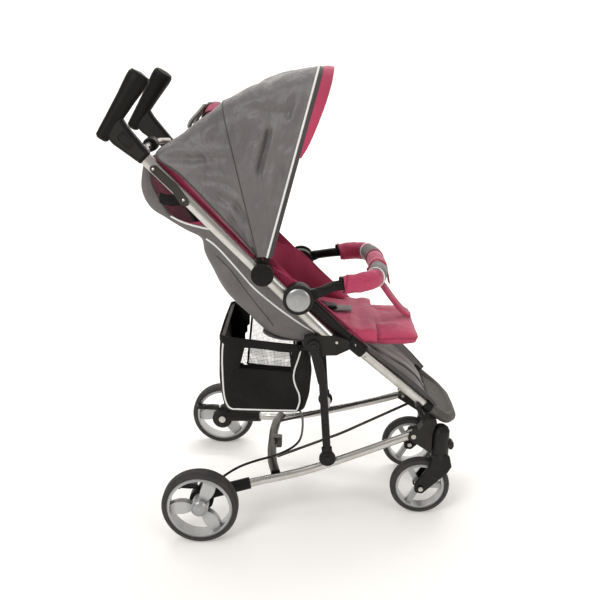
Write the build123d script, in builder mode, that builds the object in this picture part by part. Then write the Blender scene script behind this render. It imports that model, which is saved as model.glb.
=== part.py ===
"""Umbrella-type pushchair: aluminium side tubes, folding chassis, canopy, seat, basket and castors.

Millimetres. +X is forward, +Y the child's left, +Z up; the floor is Z = 0.
"""

import os
from math import cos, radians, sin, tan

from build123d import *

os.makedirs("parts", exist_ok=True)

# ---- driving dimensions ------------------------------------------------------------------------
RUNNING_FIT = 0.05  # radial clearance of a turning shaft
SEAT_FIT = 0.1  # clearance of a part that sits fixed in another
GAP = 0.5  # clearance between parts that move past each other

REAR_WHEEL_R, REAR_WHEEL_W, REAR_WHEEL_Y = 85, 37, 248.5
REAR_AXLE = (-185.5, REAR_WHEEL_R)  # x, z
REAR_AXLE_R = 5
REAR_RIM_R = 73
FRONT_WHEEL_R, FRONT_WHEEL_W = 70, 28
CASTER_X, CASTER_Y, TRAIL = 360, 114, 43
FRONT_AXLE = (CASTER_X - TRAIL, FRONT_WHEEL_R)
FRONT_AXLE_R = 4

TUBE_TOP, TUBE_END = (-292, 147, 834), (95, 168, 453)  # silver side tube, left
TUBE_DEPTH, TUBE_WIDTH, TUBE_WALL = 28, 20, 1.6
BEAM_TOP, BEAM_END = (40, 166, 545), (158, 152.2, 427)  # black beam in front of it
BEAM_DEPTH, BEAM_WIDTH = 23, 22
LOWER_TOP, LOWER_END = (160, 151.5, 422), (331, 114, 267)
LOWER_DEPTH, LOWER_WIDTH = 22, 17

HUB = (28, 545)  # x, z of the big side hub, the bumper bar's pivot
HUB_R, HUB_OUTER_Y = 33, 198
CANOPY_HUB = (-48.5, 597)
CANOPY_KNOB_R, CANOPY_OUTER_Y = 24.5, 190
FOLD_PIVOT = (295, 203)  # bottom rail on the front carrier
RAIL_EYE_Y = 121
STRUT_TOP, STRUT_WAIST, STRUT_FOOT = (62, 440), (83, 352), (96.5, 164)
RECLINE_PIVOT = (-52, 452)
LEGREST_PIVOT = (166, 436)
LEVER_PIVOT = (-274, 816)


# ---- helpers -------------------------------------------------------------------------------------
def line_plane(start, end):
    """Plane at start whose normal runs to end and whose local Y lies across the machine."""
    along = (Vector(*end) - Vector(*start)).normalized()
    across = (Vector(0, 1, 0) - along * along.Y).normalized()
    return Plane(origin=start, x_dir=across.cross(along), z_dir=along)


def span(start, end):
    """Distance between two points."""
    return (Vector(*end) - Vector(*start)).length


def oval_bar(start, end, depth, width, wall=0, grow=0):
    """Straight oval tube, or solid bar where wall is 0, added to the part being built."""
    with BuildSketch(line_plane(start, end)) as section:
        Ellipse(depth / 2 + grow, width / 2 + grow)
        if wall:
            Ellipse(depth / 2 - wall, width / 2 - wall, mode=Mode.SUBTRACT)
    extrude(section.sketch, amount=span(start, end))


def oval_cut(start, end, depth, width, overrun=0):
    """Pocket for an oval bar, with seating clearance, run past both ends."""
    along = (Vector(*end) - Vector(*start)).normalized() * overrun
    with BuildSketch(line_plane(Vector(*start) - along, end)) as section:
        Ellipse(depth / 2 + SEAT_FIT, width / 2 + SEAT_FIT)
    extrude(section.sketch, amount=span(start, end) + 2 * overrun, mode=Mode.SUBTRACT)


def side_plane(y):
    """Plane of side profiles: local X is forward, local Y is up, extruding goes to +Y."""
    return Plane(origin=(0, y, 0), x_dir=(1, 0, 0), z_dir=(0, -1, 0))


def side_plate(points, y_low, y_high, radius=0, mode=Mode.ADD):
    """Plate with an (x, z) outline between two widths."""
    with BuildSketch(side_plane(y_high)) as outline:
        with BuildLine():
            Polyline(*points, close=True)
        make_face()
        if radius:
            fillet(outline.vertices(), radius)
    extrude(outline.sketch, amount=y_high - y_low, mode=mode)


def side_disc(centre, radius, y_low, y_high, mode=Mode.ADD):
    """Round boss or bore along Y at an (x, z) centre."""
    with BuildSketch(side_plane(y_high)) as disc:
        with Locations(centre):
            Circle(radius)
    extrude(disc.sketch, amount=y_high - y_low, mode=mode)


def turned(profile, centre, y_origin):
    """Ring or wheel part turned about a Y axis from (y, radius) points."""
    section = Plane(origin=(centre[0], y_origin, centre[1]), x_dir=(0, 1, 0), z_dir=(1, 0, 0))
    with BuildSketch(section) as half:
        with BuildLine():
            Polyline(*profile, close=True)
        make_face()
    revolve(half.sketch, axis=Axis((centre[0], 0, centre[1]), (0, 1, 0)))


def upright_disc(x, y, radius, low, high, mode=Mode.ADD):
    """Round boss or bore along Z."""
    with BuildSketch(Plane.XY.offset(low)) as disc:
        with Locations((x, y)):
            Circle(radius)
    extrude(disc.sketch, amount=high - low, mode=mode)


def turned_upright(profile, x, y):
    """Round body turned about a Z axis from (radius, z) points."""
    with BuildSketch(Plane(origin=(x, y, 0), x_dir=(1, 0, 0), z_dir=(0, -1, 0))) as half:
        with BuildLine():
            Polyline(*profile, close=True)
        make_face()
    revolve(half.sketch, axis=Axis((x, y, 0), (0, 0, 1)))


def both_sides():
    """Adds the mirror image of what has been built."""
    mirror(about=Plane.XZ)


def save(builder, name):
    """Labels a sub-part and writes its STEP file."""
    builder.part.label = name
    export_step(builder.part, f"parts/{name}.step")


def layers(side, inner, outer):
    """Low and high Y of a layer between two distances from the middle, on one side."""
    return sorted((side * inner, side * outer))


def rod(points, radius, bends=()):
    """Round rod along straight runs, with tangent arcs where bend radii are given."""
    with BuildLine() as path:
        if bends:
            FilletPolyline(*points, radius=list(bends))
        else:
            Polyline(*points)
    with BuildSketch(Plane(origin=path.line @ 0, z_dir=path.line % 0)) as section:
        Circle(radius)
    sweep(section.sketch, path=path.line)


def arch_plane(pivot, tilt):
    """Plane of a canopy bow: local X across the machine, local Y up from the hub, tilted forward."""
    lean = radians(tilt)
    return Plane(origin=(pivot[0], 0, pivot[1]), x_dir=(0, 1, 0), z_dir=(cos(lean), 0, -sin(lean)))


def arch_outline(half_base, half_top, base, top, corner, inset):
    """Closed arch outline with rounded top corners, drawn in the current sketch."""
    low, high = half_base - inset, half_top - inset
    with BuildLine() as outline:
        FilletPolyline((low, base), (high, top - inset), (-high, top - inset), (-low, base),
                       radius=corner - inset)
        Line((low, base), (-low, base))
    make_face(outline.edges())


def arch_shell(pivot, tilts, arches, base, corner, inset, thickness):
    """Thin shell between two arch planes, open at both ends and at the bottom."""
    for depth, low, mode in ((inset, base, Mode.ADD), (inset + thickness, base - 2, Mode.SUBTRACT)):
        sections = []
        for tilt, (half_base, half_top, top) in zip(tilts, arches):
            with BuildSketch(arch_plane(pivot, tilt)) as section:
                arch_outline(half_base, half_top, low, top, corner, depth)
            sections.append(section.sketch)
        loft(sections, mode=mode)


def arch_band(pivot, tilt, arch, corner, inset, thickness, width):
    """Flat strip bent to an arch."""
    half_base, half_top, top = arch
    for depth, base, mode in ((inset, 0, Mode.ADD), (inset + thickness, -2, Mode.SUBTRACT)):
        with BuildSketch(arch_plane(pivot, tilt)) as outline:
            arch_outline(half_base, half_top, base, top, corner, depth)
        extrude(outline.sketch, amount=width / 2, both=True, mode=mode)


SIDES = (("left", 1), ("right", -1))

# ---- frame tubes -----------------------------------------------------------------------------------
with BuildPart() as side_tubes:
    oval_bar(TUBE_TOP, TUBE_END, TUBE_DEPTH, TUBE_WIDTH, TUBE_WALL)
    both_sides()
save(side_tubes, "side_tubes")

SADDLE_R, SADDLE_INNER_Y, SADDLE_OUTER_Y = 30, 151, 175.4
POST_R, CUP_INNER_Y, CAP_SEAT_Y, CAP_R = 10, 187, 192, 26

with BuildPart() as front_beams:
    oval_bar(BEAM_TOP, BEAM_END, BEAM_DEPTH, BEAM_WIDTH)
    side_disc(HUB, SADDLE_R + SEAT_FIT, 140, 190, Mode.SUBTRACT)
    both_sides()
save(front_beams, "front_beams")

with BuildPart() as lower_tubes:
    oval_bar(LOWER_TOP, LOWER_END, LOWER_DEPTH, LOWER_WIDTH, TUBE_WALL)
    both_sides()
save(lower_tubes, "lower_tubes")

BRACKET = [(38, 438), (42, 455), (60, 459), (108, 461), (140, 448), (140, 430), (112, 416), (80, 415),
           (66, 424), (50, 424)]
COLLAR_TOP, COLLAR_END, COLLAR_DEPTH, COLLAR_WIDTH = (138, 157, 445), (171, 149.6, 415), 31, 27
with BuildPart() as strut_brackets:
    side_plate(BRACKET, 155, 180, 3)
    oval_bar(COLLAR_TOP, COLLAR_END, COLLAR_DEPTH, COLLAR_WIDTH)
    oval_cut(TUBE_TOP, TUBE_END, TUBE_DEPTH, TUBE_WIDTH)
    oval_cut(BEAM_TOP, BEAM_END, BEAM_DEPTH, BEAM_WIDTH, 2)
    oval_cut(LOWER_TOP, LOWER_END, LOWER_DEPTH, LOWER_WIDTH, 4)
    both_sides()
save(strut_brackets, "strut_brackets")

HOUSING = [
    (SADDLE_INNER_Y, 0), (SADDLE_INNER_Y, SADDLE_R - 2), (SADDLE_INNER_Y + 2, SADDLE_R),
    (SADDLE_OUTER_Y, SADDLE_R), (SADDLE_OUTER_Y, POST_R), (CUP_INNER_Y, POST_R), (CUP_INNER_Y, HUB_R - 2),
    (CUP_INNER_Y + 2, HUB_R), (HUB_OUTER_Y - 3, HUB_R), (HUB_OUTER_Y, HUB_R - 3),
    (HUB_OUTER_Y, CAP_R + SEAT_FIT), (CAP_SEAT_Y, CAP_R + SEAT_FIT), (CAP_SEAT_Y, 0),
]
with BuildPart() as hub_housings:
    turned(HOUSING, HUB, 0)
    oval_cut(TUBE_TOP, TUBE_END, TUBE_DEPTH, TUBE_WIDTH)
    both_sides()
save(hub_housings, "hub_housings")

CAP = [(192.1, 0), (192.1, CAP_R), (197, CAP_R), (199, 23), (200.6, 14), (201.2, 0)]
with BuildPart() as hub_caps:
    turned(CAP, HUB, 0)
    both_sides()
save(hub_caps, "hub_caps")

# ---- handles ---------------------------------------------------------------------------------------
GRIP_LOW, GRIP_HIGH = (-382.6, 150, 874), (-297, 136, 1005)
GRIP_PROFILE = [(0, 0), (10, 0), (14.5, 4), (16, 30), (17.5, 60), (20, 100), (23.5, 138), (23.5, 150),
                (20, 157), (0, 160)]  # radius, height
NECK = [(-282, 845.6), (-303, 824.2), (-358, 864), (-371, 880), (-358, 905), (-338, 920), (-326, 900)]
NECK_INNER_Y, NECK_OUTER_Y, NECK_ROUND = 134, 160, 8
SPIGOT_LENGTH = 30
RELEASE = (-330, 872)  # x, z of the thumb release, in the neck's outer face
RELEASE_LONG, RELEASE_SHORT, RELEASE_DEPTH, RELEASE_RECESS, RELEASE_TRAVEL = 34, 18, 6, 1, 3
GRIP_AXIS = (Vector(*GRIP_HIGH) - Vector(*GRIP_LOW)).normalized()
GRIP_SIDE = GRIP_AXIS.cross(Vector(0, 1, 0)).normalized()
TUBE_AXIS = (Vector(*TUBE_END) - Vector(*TUBE_TOP)).normalized()


def release_outline(grow):
    """Oval of the thumb release, in the current sketch."""
    with Locations(Location((RELEASE[0], RELEASE[1], 0), (0, 0, -45))):
        SlotOverall(RELEASE_LONG + 2 * grow, RELEASE_SHORT + 2 * grow)


with BuildPart() as handle_grips:
    with BuildSketch(Plane(origin=GRIP_LOW, x_dir=GRIP_SIDE, z_dir=GRIP_SIDE.cross(GRIP_AXIS))) as half:
        with BuildLine():
            Polyline(*GRIP_PROFILE, close=True)
        make_face()
    revolve(half.sketch, axis=Axis(GRIP_LOW, GRIP_AXIS))
    fillet(handle_grips.edges().filter_by(GeomType.CIRCLE), 1.5)
    both_sides()
save(handle_grips, "handle_grips")

with BuildPart() as handle_necks:
    side_plate(NECK, NECK_INNER_Y, NECK_OUTER_Y, 2)
    fillet(handle_necks.edges().filter_by(Axis.Y, reverse=True), NECK_ROUND)
    oval_bar(Vector(*TUBE_TOP) - TUBE_AXIS * 2, Vector(*TUBE_TOP) + TUBE_AXIS * SPIGOT_LENGTH,
             TUBE_DEPTH - 2 * TUBE_WALL, TUBE_WIDTH - 2 * TUBE_WALL, grow=-SEAT_FIT)
    with BuildSketch(side_plane(NECK_OUTER_Y)) as pocket:
        release_outline(GAP)
    extrude(pocket.sketch, amount=RELEASE_RECESS + RELEASE_DEPTH + RELEASE_TRAVEL + GAP, mode=Mode.SUBTRACT)
    add(handle_grips.part, mode=Mode.SUBTRACT)
    both_sides()
save(handle_necks, "handle_necks")

for side_name, side in SIDES:
    with BuildPart() as release:
        with BuildSketch(side_plane(side * (NECK_OUTER_Y - RELEASE_RECESS))) as outline:
            release_outline(0)
        extrude(outline.sketch, amount=side * RELEASE_DEPTH)
    save(release, f"release_{side_name}")

KNUCKLE, KNUCKLE_R, KNUCKLE_HALF = (-309, 850), 16, 19
CROSSBAR_R = 7
BUTTON_R, BUTTON_LOW, BUTTON_TOP, BUTTON_TRAVEL = 7, 10, 17.5, 3  # heights above the knuckle's middle
with BuildPart() as handle_crossbar:
    rod([(KNUCKLE[0], KNUCKLE_HALF + 1, KNUCKLE[1]), (-306, 80, 850), (-292, 132, 846)], CROSSBAR_R, [40])
    both_sides()
save(handle_crossbar, "handle_crossbar")

with BuildPart() as crossbar_knuckle:
    side_disc(KNUCKLE, KNUCKLE_R, -KNUCKLE_HALF, KNUCKLE_HALF)
    fillet(crossbar_knuckle.edges().filter_by(GeomType.CIRCLE), 4)
    upright_disc(KNUCKLE[0], 0, BUTTON_R + GAP, KNUCKLE[1] + BUTTON_LOW - BUTTON_TRAVEL - GAP,
                 KNUCKLE[1] + KNUCKLE_R, Mode.SUBTRACT)
save(crossbar_knuckle, "crossbar_knuckle")

with BuildPart() as knuckle_button:
    upright_disc(KNUCKLE[0], 0, BUTTON_R, KNUCKLE[1] + BUTTON_LOW, KNUCKLE[1] + BUTTON_TOP)
    fillet(knuckle_button.edges().group_by(Axis.Z)[-1], 2)
save(knuckle_button, "knuckle_button")

# ---- footrest, front carriers and castors ----------------------------------------------------------
FOOT_R, FOOT_BENDS = 12, [32, 45]
# from the end of the lower tube to the middle
FOOT_PATH = [(332.6, 113.6, 265.7), (371, 106, 236.5), (391, 62, 225), (393, 0, 224)]
PLATE_REAR, PLATE_FRONT, PLATE_HALF, PLATE_THICK = (338, 262), (389, 231), 96, 5
PLATE_RUN = Vector(PLATE_FRONT[0] - PLATE_REAR[0], 0, PLATE_FRONT[1] - PLATE_REAR[1])
with BuildPart() as footrest_bar:
    rod(FOOT_PATH, FOOT_R, FOOT_BENDS)
    with BuildSketch(Plane(origin=(PLATE_REAR[0], 0, PLATE_REAR[1]), x_dir=PLATE_RUN,
                           z_dir=PLATE_RUN.cross(Vector(0, 1, 0)))) as plate:
        with BuildLine():
            Polyline((0, PLATE_HALF + 8), (PLATE_RUN.length * 0.6, PLATE_HALF),
                     (PLATE_RUN.length, PLATE_HALF - 35), (PLATE_RUN.length, 0), (0, 0), close=True)
        make_face()
    extrude(plate.sketch, amount=PLATE_THICK / 2, both=True)
    both_sides()
save(footrest_bar, "footrest_bar")

CARRIER = [(285, 214), (283, 196), (293, 190), (338, 160), (338, 206), (345, 234), (343, 247), (322, 246),
           (305, 284), (296, 277), (316, 232), (306, 219)]
CARRIER_INNER_Y, CARRIER_OUTER_Y = 104, 134
HOUSING_R, HOUSING_LOW, HOUSING_TOP = 21, 158.5, 224
STEM_R, STEM_TOP = 6, 206
EYE_R, EYE_HALF, EYE_PIN_R = 11.5, 7, 4
EYE_SLOT = (RAIL_EYE_Y - EYE_HALF - GAP, RAIL_EYE_Y + EYE_HALF + 4 * GAP)
TUBE_CLAMP = (317, 117.1, 279.7)  # where the clamp round the lower tube begins
with BuildPart() as front_carriers:
    side_plate(CARRIER, CARRIER_INNER_Y, CARRIER_OUTER_Y, 2)
    oval_bar(TUBE_CLAMP, LOWER_END, LOWER_DEPTH + 5, LOWER_WIDTH + 5)
    turned_upright([(0, HOUSING_LOW), (HOUSING_R, HOUSING_LOW), (HOUSING_R, HOUSING_TOP - 13),
                    (HOUSING_R - 4, HOUSING_TOP - 5), (HOUSING_R - 11, HOUSING_TOP), (0, HOUSING_TOP)],
                   CASTER_X, CASTER_Y)
    upright_disc(CASTER_X, CASTER_Y, STEM_R + RUNNING_FIT, HOUSING_LOW, STEM_TOP + GAP, Mode.SUBTRACT)
    side_disc(FOLD_PIVOT, EYE_R + 2 * GAP, *EYE_SLOT, Mode.SUBTRACT)
    side_plate([(295, 191), (270, 175), (250, 250), (287, 222), (300, 215)], *EYE_SLOT, mode=Mode.SUBTRACT)
    side_disc(FOLD_PIVOT, EYE_PIN_R + SEAT_FIT, 95, 145, Mode.SUBTRACT)
    oval_cut(LOWER_TOP, LOWER_END, LOWER_DEPTH, LOWER_WIDTH, 6)
    both_sides()
    add(footrest_bar.part, mode=Mode.SUBTRACT)
save(front_carriers, "front_carriers")


CROWN_TOP, CROWN_LOW, FORK_GAP, FORK_BLADE = 157.8, 143, 15.5, 5
FORK_CORNER, FORK_ROUND = 9, 3
FORK = [(341, 156), (339, 132), (303, 80), (303, 58), (322, 55), (379, 110), (388, 126), (381, 156)]
LOCK = [(381.5, 165), (388, 165), (391.7, 172), (391, 182), (386, 187), (381.5, 187)]
TYRE_SEAT_R, FRONT_HUB_R = 58, 11


def spoked_rim(axle, y, outer_r, width, hub_r, spoke_width, first_angle, bore_r, leaf=False):
    """Wheel rim with a hub and three spokes, straight or leaf-shaped, about a Y axis."""
    half = width / 2
    turned([(-half, outer_r - 7), (-half + 2, outer_r), (half - 2, outer_r), (half, outer_r - 7)], axle, y)
    turned([(-half, 0), (-half, hub_r), (half, hub_r), (half, 0)], axle, y)
    with BuildSketch(side_plane(y + half / 2)) as arms:
        with Locations(axle):
            with PolarLocations((hub_r + outer_r) / 2 - 3, 3, first_angle):
                if leaf:
                    Ellipse((outer_r - hub_r) / 2 + 1, spoke_width / 2)
                else:
                    Rectangle(outer_r - hub_r, spoke_width)
    extrude(arms.sketch, amount=half)
    side_disc(axle, bore_r, y - width, y + width, Mode.SUBTRACT)


def tyre(axle, y, outer_r, inner_r, width):
    """Solid tyre with a rounded tread."""
    half = width / 2
    turned([(-half, inner_r), (-half, outer_r - 9), (-half + 3, outer_r - 3), (-half + 9, outer_r),
            (half - 9, outer_r), (half - 3, outer_r - 3), (half, outer_r - 9), (half, inner_r)], axle, y)


for side_name, side in SIDES:
    middle = side * CASTER_Y
    with BuildPart() as fork:
        side_plate(FORK, middle - FORK_GAP - FORK_BLADE, middle + FORK_GAP + FORK_BLADE, FORK_CORNER)
        fillet(fork.edges().filter_by(Axis.Y, reverse=True), FORK_ROUND)
        side_disc(FRONT_AXLE, 2 * FRONT_WHEEL_R, middle - FORK_GAP, middle + FORK_GAP, Mode.SUBTRACT)
        upright_disc(CASTER_X, middle, HOUSING_R, CROWN_LOW, CROWN_TOP)
        upright_disc(CASTER_X, middle, STEM_R, CROWN_LOW, STEM_TOP)
        side_disc(FRONT_AXLE, FRONT_AXLE_R, *layers(side, CASTER_Y - 24, CASTER_Y + 24))
        side_disc(FRONT_AXLE, 7, *layers(side, CASTER_Y + 20, CASTER_Y + 23))
        side_disc(FRONT_AXLE, 7, *layers(side, CASTER_Y - 20, CASTER_Y - 23))
    save(fork, f"caster_fork_{side_name}")

    with BuildPart() as front_rim:
        spoked_rim(FRONT_AXLE, middle, TYRE_SEAT_R, FRONT_WHEEL_W - 2, FRONT_HUB_R, 12, 120,
                   FRONT_AXLE_R + RUNNING_FIT)
    save(front_rim, f"front_rim_{side_name}")

    with BuildPart() as front_tyre:
        tyre(FRONT_AXLE, middle, FRONT_WHEEL_R, TYRE_SEAT_R + SEAT_FIT, FRONT_WHEEL_W)
    save(front_tyre, f"front_tyre_{side_name}")

    with BuildPart() as swivel_lock:
        side_plate(LOCK, *layers(side, CASTER_Y - 7, CASTER_Y + 7), 1)
    save(swivel_lock, f"swivel_lock_{side_name}")

# ---- folding chassis -------------------------------------------------------------------------------
RAIL_PATH = [(FOLD_PIVOT[0], RAIL_EYE_Y, FOLD_PIVOT[1]), (215, 130, 175), (120, 145, 145), (20, 160, 118),
             (-50, 174, 108), (-92, 186, 103)]
RAIL_DEPTH, RAIL_WIDTH = 20, 14
BRAKE_INNER_Y, BRAKE_OUTER_Y, BRAKE_R = 206, 227, 27
SLEEVE_START, SLEEVE_END = (-80, 181.5, 104.5), (-172, 209, 92)
STRUT_Y_TOP, STRUT_Y_WAIST, STRUT_Y_FOOT = 188, 181, 166
KNOB_R = 19

with BuildPart() as bottom_rails:
    with BuildLine() as path:
        Spline(*RAIL_PATH)
    with BuildSketch(Plane(origin=path.line @ 0, x_dir=(0, 1, 0), z_dir=path.line % 0)) as section:
        Ellipse(RAIL_WIDTH / 2, RAIL_DEPTH / 2)
    sweep(section.sketch, path=path.line)
    side_disc(FOLD_PIVOT, EYE_R, RAIL_EYE_Y - EYE_HALF, RAIL_EYE_Y + EYE_HALF)
    side_disc(FOLD_PIVOT, EYE_PIN_R + RUNNING_FIT, 100, 140, Mode.SUBTRACT)
    side_disc(STRUT_FOOT, 13, 143, 159)
    side_plate([(84, 164), (88, 130), (106, 135), (109, 164)], 143, 159)
    both_sides()
save(bottom_rails, "bottom_rails")

with BuildPart() as axle_brackets:
    oval_bar(SLEEVE_START, SLEEVE_END, 28, 21)
    side_disc(REAR_AXLE, BRAKE_R, BRAKE_INNER_Y, BRAKE_OUTER_Y)
    side_plate([(-196, 108), (-188, 122), (-150, 112), (-160, 80)], BRAKE_INNER_Y + 1, BRAKE_OUTER_Y - 4, 2)
    side_disc(REAR_AXLE, REAR_AXLE_R + SEAT_FIT, 190, 240, Mode.SUBTRACT)
    side_plate([(-240, 106), (-240, 142), (-193, 142), (-193, 106)], 209, 222, mode=Mode.SUBTRACT)
    add(bottom_rails.part, mode=Mode.SUBTRACT)
    both_sides()
save(axle_brackets, "axle_brackets")

with BuildPart() as rear_axles:
    side_disc(REAR_AXLE, REAR_AXLE_R, 203, 262)
    side_disc(REAR_AXLE, 9, 200, 205.5)
    both_sides()
save(rear_axles, "rear_axles")

CROSS_PATH = [(-22, 158, 118), (-32, 110, 122), (-36, 50, 124), (-36, -50, 124), (-32, -110, 122),
              (-22, -158, 118)]
CROSS_R = 11
CLIP_AT, CLIP_HALF = (-28, 122), 11  # cable clip in the middle of the cross tube
with BuildPart() as cross_tube:
    rod(CROSS_PATH, CROSS_R, [120, 120, 120, 120])
    with BuildSketch(side_plane(CLIP_HALF)) as block:
        with Locations(CLIP_AT):
            RectangleRounded(30, 26, 5)
    extrude(block.sketch, amount=2 * CLIP_HALF)
    add(bottom_rails.part, mode=Mode.SUBTRACT)
save(cross_tube, "cross_tube")

STAY_REAR, STAY_MIDDLE, STAY_FRONT, STAY_R = (-21, 100, 130), (130, 74, 180), (290, 33, 241), 3.2
with BuildPart() as stay_rods:
    rod([STAY_REAR, STAY_MIDDLE, STAY_FRONT], STAY_R, [400])
    both_sides()
    add(cross_tube.part, mode=Mode.SUBTRACT)
save(stay_rods, "stay_rods")

CABLE_R = 2.8
CABLE_HALF = [(-150, 205, 122), (-118, 190, 143), (-70, 166, 152), (-18, 146, 157), (22, 112, 163),
              (38, 62, 165)]
CABLE_ROUTE = [(x, -y, z) for x, y, z in CABLE_HALF] + CABLE_HALF[::-1]


def bend_radii(points):
    """Largest arc at each inner point: 0.45 of the shorter run over the tangent of half the turn."""
    radii = []
    for before, corner, after in zip(points, points[1:], points[2:]):
        first, second = Vector(*corner) - Vector(*before), Vector(*after) - Vector(*corner)
        half_turn = radians(first.get_angle(second)) / 2
        radii.append(0.45 * min(first.length, second.length) / tan(half_turn))
    return radii


CABLE_RADII = bend_radii(CABLE_ROUTE)
print("brake cable bend radii:", [round(r) for r in CABLE_RADII])
with BuildPart() as brake_cable:
    rod(CABLE_ROUTE, CABLE_R, CABLE_RADII)
save(brake_cable, "brake_cable")

for side_name, side in SIDES:
    with BuildPart() as strut:
        top = (STRUT_TOP[0], side * STRUT_Y_TOP, STRUT_TOP[1])
        foot = (STRUT_FOOT[0], side * STRUT_Y_FOOT, STRUT_FOOT[1])
        waist = (STRUT_WAIST[0], side * STRUT_Y_WAIST, STRUT_WAIST[1])
        collar = Vector(*foot) * 0.86 + Vector(*waist) * 0.14
        oval_bar(top, waist, 21, 9)
        oval_bar(Vector(*waist) + Vector(0, 0, 4), foot, 18, 10)
        oval_bar(collar, foot, 24, 12)
        side_disc(STRUT_TOP, 13, *layers(side, 181, 192.5))
        side_disc(STRUT_TOP, 6, *layers(side, 192.5, 195))
        side_disc(STRUT_FOOT, 14, *layers(side, 159.6, 168))
        side_disc(STRUT_FOOT, KNOB_R, *layers(side, 168, 173))
        side_disc(STRUT_FOOT, KNOB_R - 4, *layers(side, 173, 175))
        side_disc(STRUT_FOOT, 7, *layers(side, 175, 177))
    save(strut, f"strut_{side_name}")

    with BuildPart() as pedal:
        side_plate([(-250, 120), (-246, 111), (-210, 109), (-195, 110), (-195, 121), (-212, 122)],
                   *layers(side, 210, 221), 2)
        side_plate([(-256, 121), (-254, 113), (-232, 111), (-232, 120)], *layers(side, 206, 227), 2)
    save(pedal, f"brake_pedal_{side_name}")

    with BuildPart() as rear_rim:
        half = REAR_WHEEL_W / 2
        middle = side * REAR_WHEEL_Y
        spoked_rim(REAR_AXLE, middle, REAR_RIM_R, REAR_WHEEL_W - 2, 19, 30, 65, REAR_AXLE_R + RUNNING_FIT,
                   leaf=True)
        dome = [(half - 1, 0), (half - 1, 17), (half + 2, 14), (half + 4, 7), (half + 4.4, 0)]
        turned([(side * offset, height) for offset, height in dome], REAR_AXLE, middle)
        side_disc(REAR_AXLE, REAR_AXLE_R + RUNNING_FIT, *layers(side, 220, 262 + GAP), Mode.SUBTRACT)
    save(rear_rim, f"rear_rim_{side_name}")

    with BuildPart() as rear_tyre:
        tyre(REAR_AXLE, middle, REAR_WHEEL_R, REAR_RIM_R + SEAT_FIT, REAR_WHEEL_W)
    save(rear_tyre, f"rear_tyre_{side_name}")

# ---- canopy ----------------------------------------------------------------------------------------
REAR_TILT, MID_TILT, FRONT_TILT = -36, -13.6, 15.1
# half width at the base, half width at the top, height
REAR_ARCH, MID_ARCH, FRONT_ARCH = (186, 158, 318), (189, 158, 362), (189, 176, 439)
CANOPY_BASE, CANOPY_CORNER, CANOPY_SKIN = 40, 62, 2
BOW_INSET, BOW_THICK, BOW_WIDTH = 7, 4, 12
PANEL_SPLIT = 0.3  # degrees between the two panels
POST_INNER_Y, KNOB_INNER_Y, CANOPY_POST_R = 171, 184.5, 6
LEAF = 3.6  # thickness of each bow's foot disc
with BuildPart() as canopy_clamps:
    side_disc(CANOPY_HUB, 21, 148, POST_INNER_Y)
    side_disc(CANOPY_HUB, CANOPY_POST_R, POST_INNER_Y, KNOB_INNER_Y)
    turned([(KNOB_INNER_Y, 0), (KNOB_INNER_Y, CANOPY_KNOB_R), (KNOB_INNER_Y + 5, CANOPY_KNOB_R),
            (CANOPY_OUTER_Y, CANOPY_KNOB_R - 4), (CANOPY_OUTER_Y + 1, 8), (CANOPY_OUTER_Y + 1, 0)],
           CANOPY_HUB, 0)
    oval_cut(TUBE_TOP, TUBE_END, TUBE_DEPTH, TUBE_WIDTH)
    both_sides()
save(canopy_clamps, "canopy_clamps")

for name, tilt, arch, leaf_y in (("mid_bow", MID_TILT, MID_ARCH, POST_INNER_Y + 2.5),
                                 ("front_bow", FRONT_TILT, FRONT_ARCH, POST_INNER_Y + 3.9 + LEAF)):
    with BuildPart() as bow:
        arch_band(CANOPY_HUB, tilt, (leaf_y + LEAF + BOW_INSET, *arch[1:]), CANOPY_CORNER, BOW_INSET,
                  BOW_THICK, BOW_WIDTH)
        for side_name, side in SIDES:
            side_disc(CANOPY_HUB, BOW_WIDTH + 2, *layers(side, leaf_y, leaf_y + LEAF))
        side_disc(CANOPY_HUB, CANOPY_POST_R + RUNNING_FIT, -200, 200, Mode.SUBTRACT)
    save(bow, name)

with BuildPart() as canopy_panel_rear:
    arch_shell(CANOPY_HUB, (REAR_TILT, MID_TILT - PANEL_SPLIT), (REAR_ARCH, MID_ARCH), CANOPY_BASE,
               CANOPY_CORNER, 0, CANOPY_SKIN)
save(canopy_panel_rear, "canopy_panel_rear")

with BuildPart() as canopy_panel_front:
    arch_shell(CANOPY_HUB, (MID_TILT + PANEL_SPLIT, FRONT_TILT), (MID_ARCH, FRONT_ARCH), CANOPY_BASE,
               CANOPY_CORNER, 0, CANOPY_SKIN)
save(canopy_panel_front, "canopy_panel_front")

VISOR_REACH, VISOR_GAP = 31, 0.6
VISOR_TRIM = [(0, 700), (-10, 800), (14, 838), (104, 1010), (160, 1010), (160, 700)]  # cut off below this line
with BuildPart() as visor:
    plane = arch_plane(CANOPY_HUB, FRONT_TILT)
    for inset, mode in ((0, Mode.ADD), (CANOPY_SKIN, Mode.SUBTRACT)):
        with BuildSketch(plane.offset(VISOR_GAP)) as outline:
            arch_outline(*FRONT_ARCH[:2], 230, FRONT_ARCH[2], CANOPY_CORNER, inset)
        extrude(outline.sketch, amount=VISOR_REACH, mode=mode)
    side_plate(VISOR_TRIM, -250, 250, mode=Mode.SUBTRACT)
save(visor, "visor")

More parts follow.
